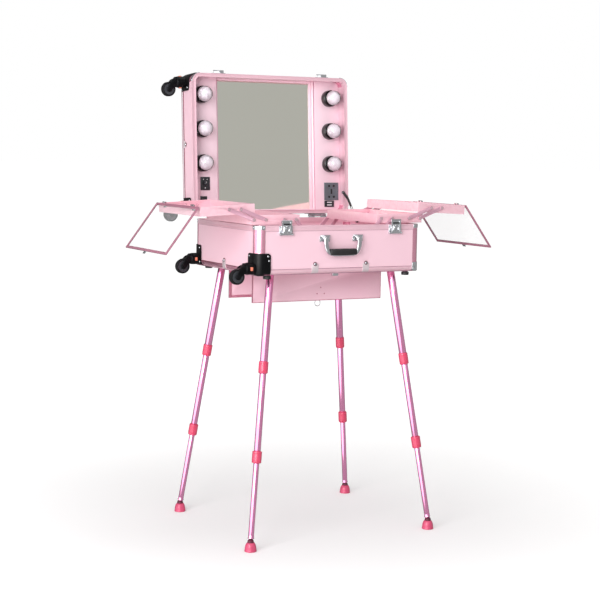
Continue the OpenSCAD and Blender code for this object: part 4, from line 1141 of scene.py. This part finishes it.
# ---- Doors of the leg compartments ----
# The same laminated board, edged with a thin mauve pink channel; rolled hinge barrels, a catch
# plate with its rivets, and a wire pull ring on the lower edge.
edge_mauve = finish(
    "edge_mauve", "c27089", 0.36, metallic=0.3, coat=0.2, drift=0.08, patch=20, fineness=800,
    worn_and_lit_colour="efc4d0", wear_and_highlight=0.3,
)
door_h = 0.092
barrel_r = 0.0023
barrel_gap = 0.004
board_half = 0.0025
ear_x = 0.7 * (half_w - 0.052)
for label, sy in (("front", -1), ("rear", 1)):
    low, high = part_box(label + "_door")
    board_y = case_y + sy * (half_d - 0.133)
    top_z = high.z - barrel_r - barrel_gap
    bottom_z = top_z + barrel_gap - door_h
    form = loose_copy(label + "_door")
    ease_edges(form, 0.0003, 1)
    for face in form.faces:
        x, y, z = face.calc_center_median()
        beside_ears = abs(abs(x) - ear_x) > 0.0155 or z < top_z - 0.0002
        within = bottom_z - 0.0005 < z < top_z + 0.0005 and abs(y - board_y) < board_half + 0.00005
        face.material_index = 0 if beside_ears and within else 1
    add_piece(label + "_door_leaf_board", form, [board_laminate, hinge_zinc], label + "_door_leaf",
              [label + "_door"])
    edging = bmesh.new()
    thick = board_half + 0.0006
    for deep, face_y in ((0.0020, sy * thick), (0.0080, -sy * thick)):
        near, far = sorted((board_y, board_y + face_y))
        for x0, x1, z0, z1 in (
            (low.x, low.x + deep, bottom_z, top_z),
            (high.x - deep, high.x, bottom_z, top_z),
            (low.x + deep + 0.0001, high.x - deep - 0.0001, bottom_z, bottom_z + deep),
        ):
            block(edging, (x0, near, z0), (x1, far, z1), 0.0005)
    add_piece(label + "_door_edging", edging, edge_mauve, label + "_door_leaf")
    tails = bmesh.new()
    for rx, rz in ((-0.003, 0.020), (0.021, 0.020), (0.009, 0.038)):
        rivet(tails, (rx, board_y + sy * board_half, bottom_z + rz), (0, sy, 0), 0.0022, 0.0009)
    add_piece(label + "_door_rivets", tails, edge_mauve, label + "_door_leaf")

# ---- Inside of the lid ----
# Two raised boards of pale pink sheet carry the lamps and the sockets; channels of the same
# pink hold the mirror, a sheet of silvered glass with a greenish cast.
lamp_sheet = finish(
    "lamp_sheet", "ffe2ed", 0.38, coat=0.2, drift=0.03, patch=6, fineness=300, relief=0.08
)
# The inner side faces of the raised boards take a deeper pink copy of the sheet: painted shade.
shaded_board_return = finish(
    "shaded_board_return", "ee92b8", 0.36, coat=0.2, drift=0.05, patch=9, fineness=300, relief=0.08
)
lamp_board_form = loose_copy("lamp_boards")
ease_edges(lamp_board_form, 0.0005)
# Side faces by the mirror get the deeper pink, painted shade.
for face in lamp_board_form.faces:
    shaded_return = abs(abs(face.calc_center_median().x) - half_w + 0.096) < 0.002
    face.material_index = int(shaded_return and abs(face.normal.x) > 0.9)
add_piece("lamp_board_sheets", lamp_board_form, [lamp_sheet, shaded_board_return], "lid",
          ["lamp_boards"])
silvered = finish(
    "silvered_glass", "eeeee3", 0.05, metallic=1.0, drift=0.02, patch=3, fineness=60, relief=0.004,
    spread=0.02,
)
dress(silvered, "mirror")
trim_form = bmesh.new()
for sx in (-1, 1):
    for inset, wide, y0 in ((0.1070, 0.0015, 0.0572), (0.1035, 0.0035, 0.0545)):
        left, right = sorted((sx * (half_w - inset), sx * (half_w - inset + wide)))
        block(trim_form, (left, y0, 0.009), (right, 0.0600, 2 * half_d - 0.009), 0.0005, in_lid)
add_piece("mirror_channels", trim_form, lamp_sheet, "lid")

# ---- Lamps ----
# Six black moulded holders and six clear globes, each with a frosted white diffuser inside
# that has facets like a cut lens.
holder_black = finish(
    "holder_black", "08080a", 0.25, coat=0.1, drift=0.1, patch=40, fineness=800, relief=0.06
)
lamp_col = half_w - 0.044
lamp_levels = (0.154, 0.2565, 0.359)
lamp_depth = 0.042
globe_r = 0.023
globe_depth = 0.008
globe_glass = finish(
    "globe_glass", "fdfbfe", 0.03, drift=0.01, patch=20, fineness=40, relief=0.01, spread=0.02,
    Transmission_Weight=0.9, IOR=1.42,
)
diffuser_white = finish(
    "diffuser_white", "f6f0f7", 0.3, coat=0.3, drift=0.06, patch=60, fineness=240, relief=0.5
)
holders = bmesh.new()
globes = bmesh.new()
diffusers = bmesh.new()
for sx in (-1, 1):
    for level in lamp_levels:
        axis = in_lid @ Matrix.Translation((sx * lamp_col, lamp_depth, level)) @ quarter_x
        turned(
            holders,
            [(0.0258, 0), (0.0260, 0.0012), (0.0258, 0.0150), (0.0250, 0.0180), (0.0238, 0.0196),
             (0.0228, 0.0200), (0.0216, 0.0192), (0.0190, 0.0165), (0.0140, 0.0130), (0, 0.0125),
             (0, 0), (0.0258, 0)],
            axis,
            48,
        )
        bmesh.ops.create_uvsphere(
            globes,
            u_segments=40,
            v_segments=24,
            radius=globe_r,
            matrix=axis @ Matrix.Translation((0, 0, lamp_depth - globe_depth)),
        )
        bmesh.ops.create_icosphere(
            diffusers,
            subdivisions=2,
            radius=0.0150,
            matrix=axis @ Matrix.Translation((0, 0, lamp_depth - globe_depth - 0.003)),
        )
close_form(holders)
add_piece("lamp_holders", holders, holder_black, "lid", ["lamp_sockets"], 50)
add_piece("globes", globes, globe_glass, "lid", ["lamp_bulbs"], 60)
add_piece("diffusers", diffusers, diffuser_white, "lid", (), 5)

# ---- Dimmer, mains inlet, outlet and charging ports ----
# Moulded plates let into the lamp boards. The dimmer has a small knob between marker dots, the
# outlet a round well with pin holes, and the ports two pale tongues.
plate_black = finish(
    "plate_black", "24262b", 0.32, coat=0.2, drift=0.12, patch=60, fineness=1000, relief=0.12,
    worn_and_lit_colour="4c4e55", wear_and_highlight=0.4,
)
outlet_grey = finish(
    "outlet_grey", "626b72", 0.4, coat=0.1, drift=0.08, patch=60, fineness=1000, relief=0.12,
    worn_and_lit_colour="9a9da4", wear_and_highlight=0.3,
)
mark_white = finish("mark_white", "e9e9ec", 0.4, drift=0.05, patch=90, fineness=900)
outlet_mid = Vector((half_w - 0.039, 0, 0.0685))


outlet_low = 0.0403
panel_form = loose_copy("power_panels")
ease_edges(panel_form, 0.0004, 2)
for face in panel_form.faces:
    middle = in_lid.inverted() @ face.calc_center_median()
    face.material_index = int(middle.x > 0.15 and middle.z > outlet_low)
add_piece("power_plates", panel_form, [plate_black, outlet_grey], "lid",
          ["power_panels"])
marks = bmesh.new()
knob_x, knob_z = 0.054 - half_w, 0.0924
front = lamp_depth - 0.002
out_of_lid = in_lid.to_3x3() @ Vector((0, -1, 0))
for dx, dz, size in ((-0.006, 0.0125, 0.0015), (0.006, 0.0125, 0.0015), (0, -0.0130, 0.0018)):
    spot = in_lid @ Vector((knob_x + dx, front, knob_z + dz))
    rivet(marks, spot, out_of_lid, size, 0.0004)
for level in (0.0241, 0.0321):
    block(
        marks,
        (half_w - 0.0550, front - 0.0006, level),
        (half_w - 0.0380, front + 0.0004, level + 0.0036),
        0.0003,
        in_lid,
    )
add_piece("plate_marks", marks, mark_white, "lid")
shutters = bmesh.new()
outlet_front = lamp_depth - 0.003
for dx in (-0.0085, 0.0085):
    for dz in (-0.0172, 0.0172):
        turned(
            shutters,
            [(0, 0.0002), (0.0026, 0.0002), (0.0034, 0.0005), (0.0038, -0.0004), (0, -0.0004)],
            in_lid
            @ Matrix.Translation((outlet_mid.x + dx, outlet_front, outlet_mid.z + dz))
            @ quarter_x,
            20,
        )
close_form(shutters)
block(
    shutters,
    (outlet_mid.x - 0.0028, outlet_front - 0.0004, outlet_mid.z - 0.0080),
    (outlet_mid.x + 0.0028, outlet_front + 0.0014, outlet_mid.z + 0.0080),
    0.0008,
    in_lid,
)
add_piece("outlet_shutters", shutters, slot_shade_and_dark_shutters, "lid")
knob_form = bmesh.new()
knob_place = in_lid @ Matrix.Translation((knob_x, front - 0.0003, knob_z)) @ quarter_x
knob_ribs = 14
turned(
    knob_form,
    [(0.0019, -0.0020), (0.0019, 0), (0.0068, 0), (0.0070, 0.0006), (0.0064, 0.0060), (0.0058, 0.0072),
     (0.0050, 0.0078), (0, 0.0080)],
    knob_place,
    28,
)
close_form(knob_form)
for step in range(knob_ribs):
    turned_place = knob_place @ Matrix.Rotation(2 * math.pi * step / knob_ribs, 4, "Z")
    block(knob_form, (0.0060, -0.0005, 0.0008), (0.0070, 0.0005, 0.0060), 0.0002, turned_place)
knob_faces = len(knob_form.faces)
block(knob_form, (-0.0005, 0.0014, 0.0074), (0.0005, 0.0052, 0.0084), 0.0002, knob_place)
paint_new(knob_form, knob_faces, 1)
add_piece("dimmer", knob_form, [plate_black, mark_white], "knob", ["dimmer_knob"])

# ---- Lid stay ----
# A slotted steel bar, stamped and painted black, with eased edges.
stay_black = finish(
    "stay_black", "1d1d20", 0.42, metallic=0.2, drift=0.15, patch=40, fineness=1000, relief=0.15,
    worn_and_lit_colour="6a6a70", wear_and_highlight=0.6,
)
stay_form = loose_copy("lid_stay")
ease_edges(stay_form, 0.0003, 2)
add_piece("stay_bar", stay_form, stay_black, "stay", ["lid_stay"])

# ---- Trays, their brackets and arms ----
# Folded sheet, painted pink, with softened edges. Flat mauve pink arms with rivets carry them, pinned
# to a bracket in the case.
tray_paint = finish(
    "tray_paint", "f4c0cd", 0.38, coat=0.15, drift=0.06, patch=9, fineness=420, relief=0.12,
    worn_and_lit_colour="f9dbe3", wear_and_highlight=0.35,
)
arm_plate = finish(
    "arm_plate", "daa6ba", 0.42, metallic=0.25, drift=0.1, patch=30, stretch=(0.2, 1, 1),
    fineness=700, relief=0.12, worn_and_lit_colour="f6d7e0", wear_and_highlight=0.4,
)
# A lighter copy of the arm colour on the rivet heads: painted highlight.
rivet_highlight = finish(
    "rivet_highlight", "f2cfd9", 0.25, metallic=0.8, drift=0.12, patch=60, fineness=900, relief=0.1
)
bracket_form = loose_copy("tray_brackets")
ease_edges(bracket_form, 0.0004, 1)
add_piece("arm_brackets", bracket_form, tray_paint, "base", ["tray_brackets"])
tray_h = 0.0265
arm_end = 0.00525
upper_arm, upper_rise = 0.0808, math.radians(20.9)
droop = math.radians(3)
upper_pin_x = 0.043
upper_x = half_w + 0.012 - 0.008 - 0.036 + upper_arm * math.cos(upper_rise)
upper_z = rim_z + 0.003 + tray_h / 2 + upper_arm * math.sin(upper_rise)


def at_upper(sx):
    """The frame of an upper tray: x from its inner end outwards, z from its bottom."""
    return (
        Matrix.Diagonal((sx, 1, 1, 1))
        @ Matrix.Translation((upper_x, 0, upper_z))
        @ Matrix.Rotation(droop, 4, "Y")
        @ Matrix.Translation((-upper_pin_x, 0, -tray_h / 2))
    )


for side, sx in (("left", -1), ("right", 1)):
    form = loose_copy(side + "_lower_tray")
    ease_edges(form, 0.0004, 2)
    add_piece(side + "_lower_tray_sheet", form, tray_paint, side + "_lower_box",
              [side + "_lower_tray"])
    for level in ("lower", "upper"):
        for place_word in ("inner", "outer"):
            node = f"{side}_{level}_arm_{place_word}"
            form = loose_copy(node)
            ease_edges(form, 0.00025, 1)
            low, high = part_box(node)
            left_z, right_z = (low.z, high.z) if sx > 0 else (high.z, low.z)
            ends = (Vector((low.x + arm_end, 0, left_z + sx * arm_end)),
                    Vector((high.x - arm_end, 0, right_z - sx * arm_end)))
            # Faces round the rivets at each end take the lighter copy, painted highlight.
            for face in form.faces:
                spot = face.calc_center_median()
                spot.y = 0
                face.material_index = int(min((spot - end).length for end in ends) < 0.0034)
            add_piece(node + "_strips", form, [arm_plate, rivet_highlight],
                      f"{side}_{level}_link_{place_word}", [node])
    form = loose_copy(side + "_upper_tray")
    ease_edges(form, 0.0003, 1)
    home = at_upper(sx).inverted()
    for face in form.faces:
        face.material_index = int((home @ face.calc_center_median()).x > 0.1611)
    add_piece(side + "_upper_tray_sheet", form, [tray_paint, chrome], side + "_upper_box",
              [side + "_upper_tray"])

# ---- Clear tray covers ----
# A thin clear plastic sheet in a mauve edging with rolled barrels on the tray's hinge pins and
# a small chromed clasp in the middle of the free edge.
cover_edging = finish(
    "cover_edging", "bd7c92", 0.32, metallic=0.3, coat=0.2, drift=0.1, patch=20, fineness=700,
    worn_and_lit_colour="d39aab", wear_and_highlight=0.4,
)
clear_plastic = finish(
    "clear_plastic", "f4f6f7", 0.06, drift=0.02, patch=6, fineness=80, relief=0.01, spread=0.03,
    Alpha=0.12, IOR=1.49,
)
cover_pin = Vector((0.1635, 0, tray_h + 0.0026))
cover_w, cover_len, cover_bar = 0.158, 0.292, 0.005
cover_low, cover_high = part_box("left_cover_frame")
tray_mid = (cover_low.y + cover_high.y) / 2
x0 = 0.0034 + cover_bar - 0.0002
x1 = 0.0034 + cover_w - cover_bar + 0.0002
y0 = tray_mid - cover_len / 2 + cover_bar - 0.0002
y1 = tray_mid + cover_len / 2 - cover_bar + 0.0002
lip = 0.0024
for side, sx in (("left", -1), ("right", 1)):
    form = loose_copy(side + "_cover_frame")
    ease_edges(form, 0.0004, 2)
    hanging = Matrix.Rotation(math.radians(50), 4, "Y")
    at_cover = at_upper(sx) @ Matrix.Translation(cover_pin) @ hanging
    home = at_cover.inverted()
    for face in form.faces:
        face.material_index = int(not 0.0033 < (home @ face.calc_center_median()).x < 0.1615)
    lips = bmesh.new()
    for z0, z1 in ((-0.0017, -0.0008), (0.0008, 0.0017)):
        block(lips, (x0, y0, z0), (x0 + lip, y1, z1), 0.0003, at_cover)
        block(lips, (x1 - lip, y0, z0), (x1, y1, z1), 0.0003, at_cover)
        block(lips, (x0 + lip, y0, z0), (x1 - lip, y0 + lip, z1), 0.0003, at_cover)
        block(lips, (x0 + lip, y1 - lip, z0), (x1 - lip, y1, z1), 0.0003, at_cover)
    bmesh.ops.recalc_face_normals(lips, faces=lips.faces)
    add_piece(side + "_cover_lips", lips, cover_edging, side + "_cover")
    add_piece(side + "_cover_edging", form, [cover_edging, chrome], side + "_cover",
              [side + "_cover_frame"])
    dress(clear_plastic, side + "_cover_sheet")
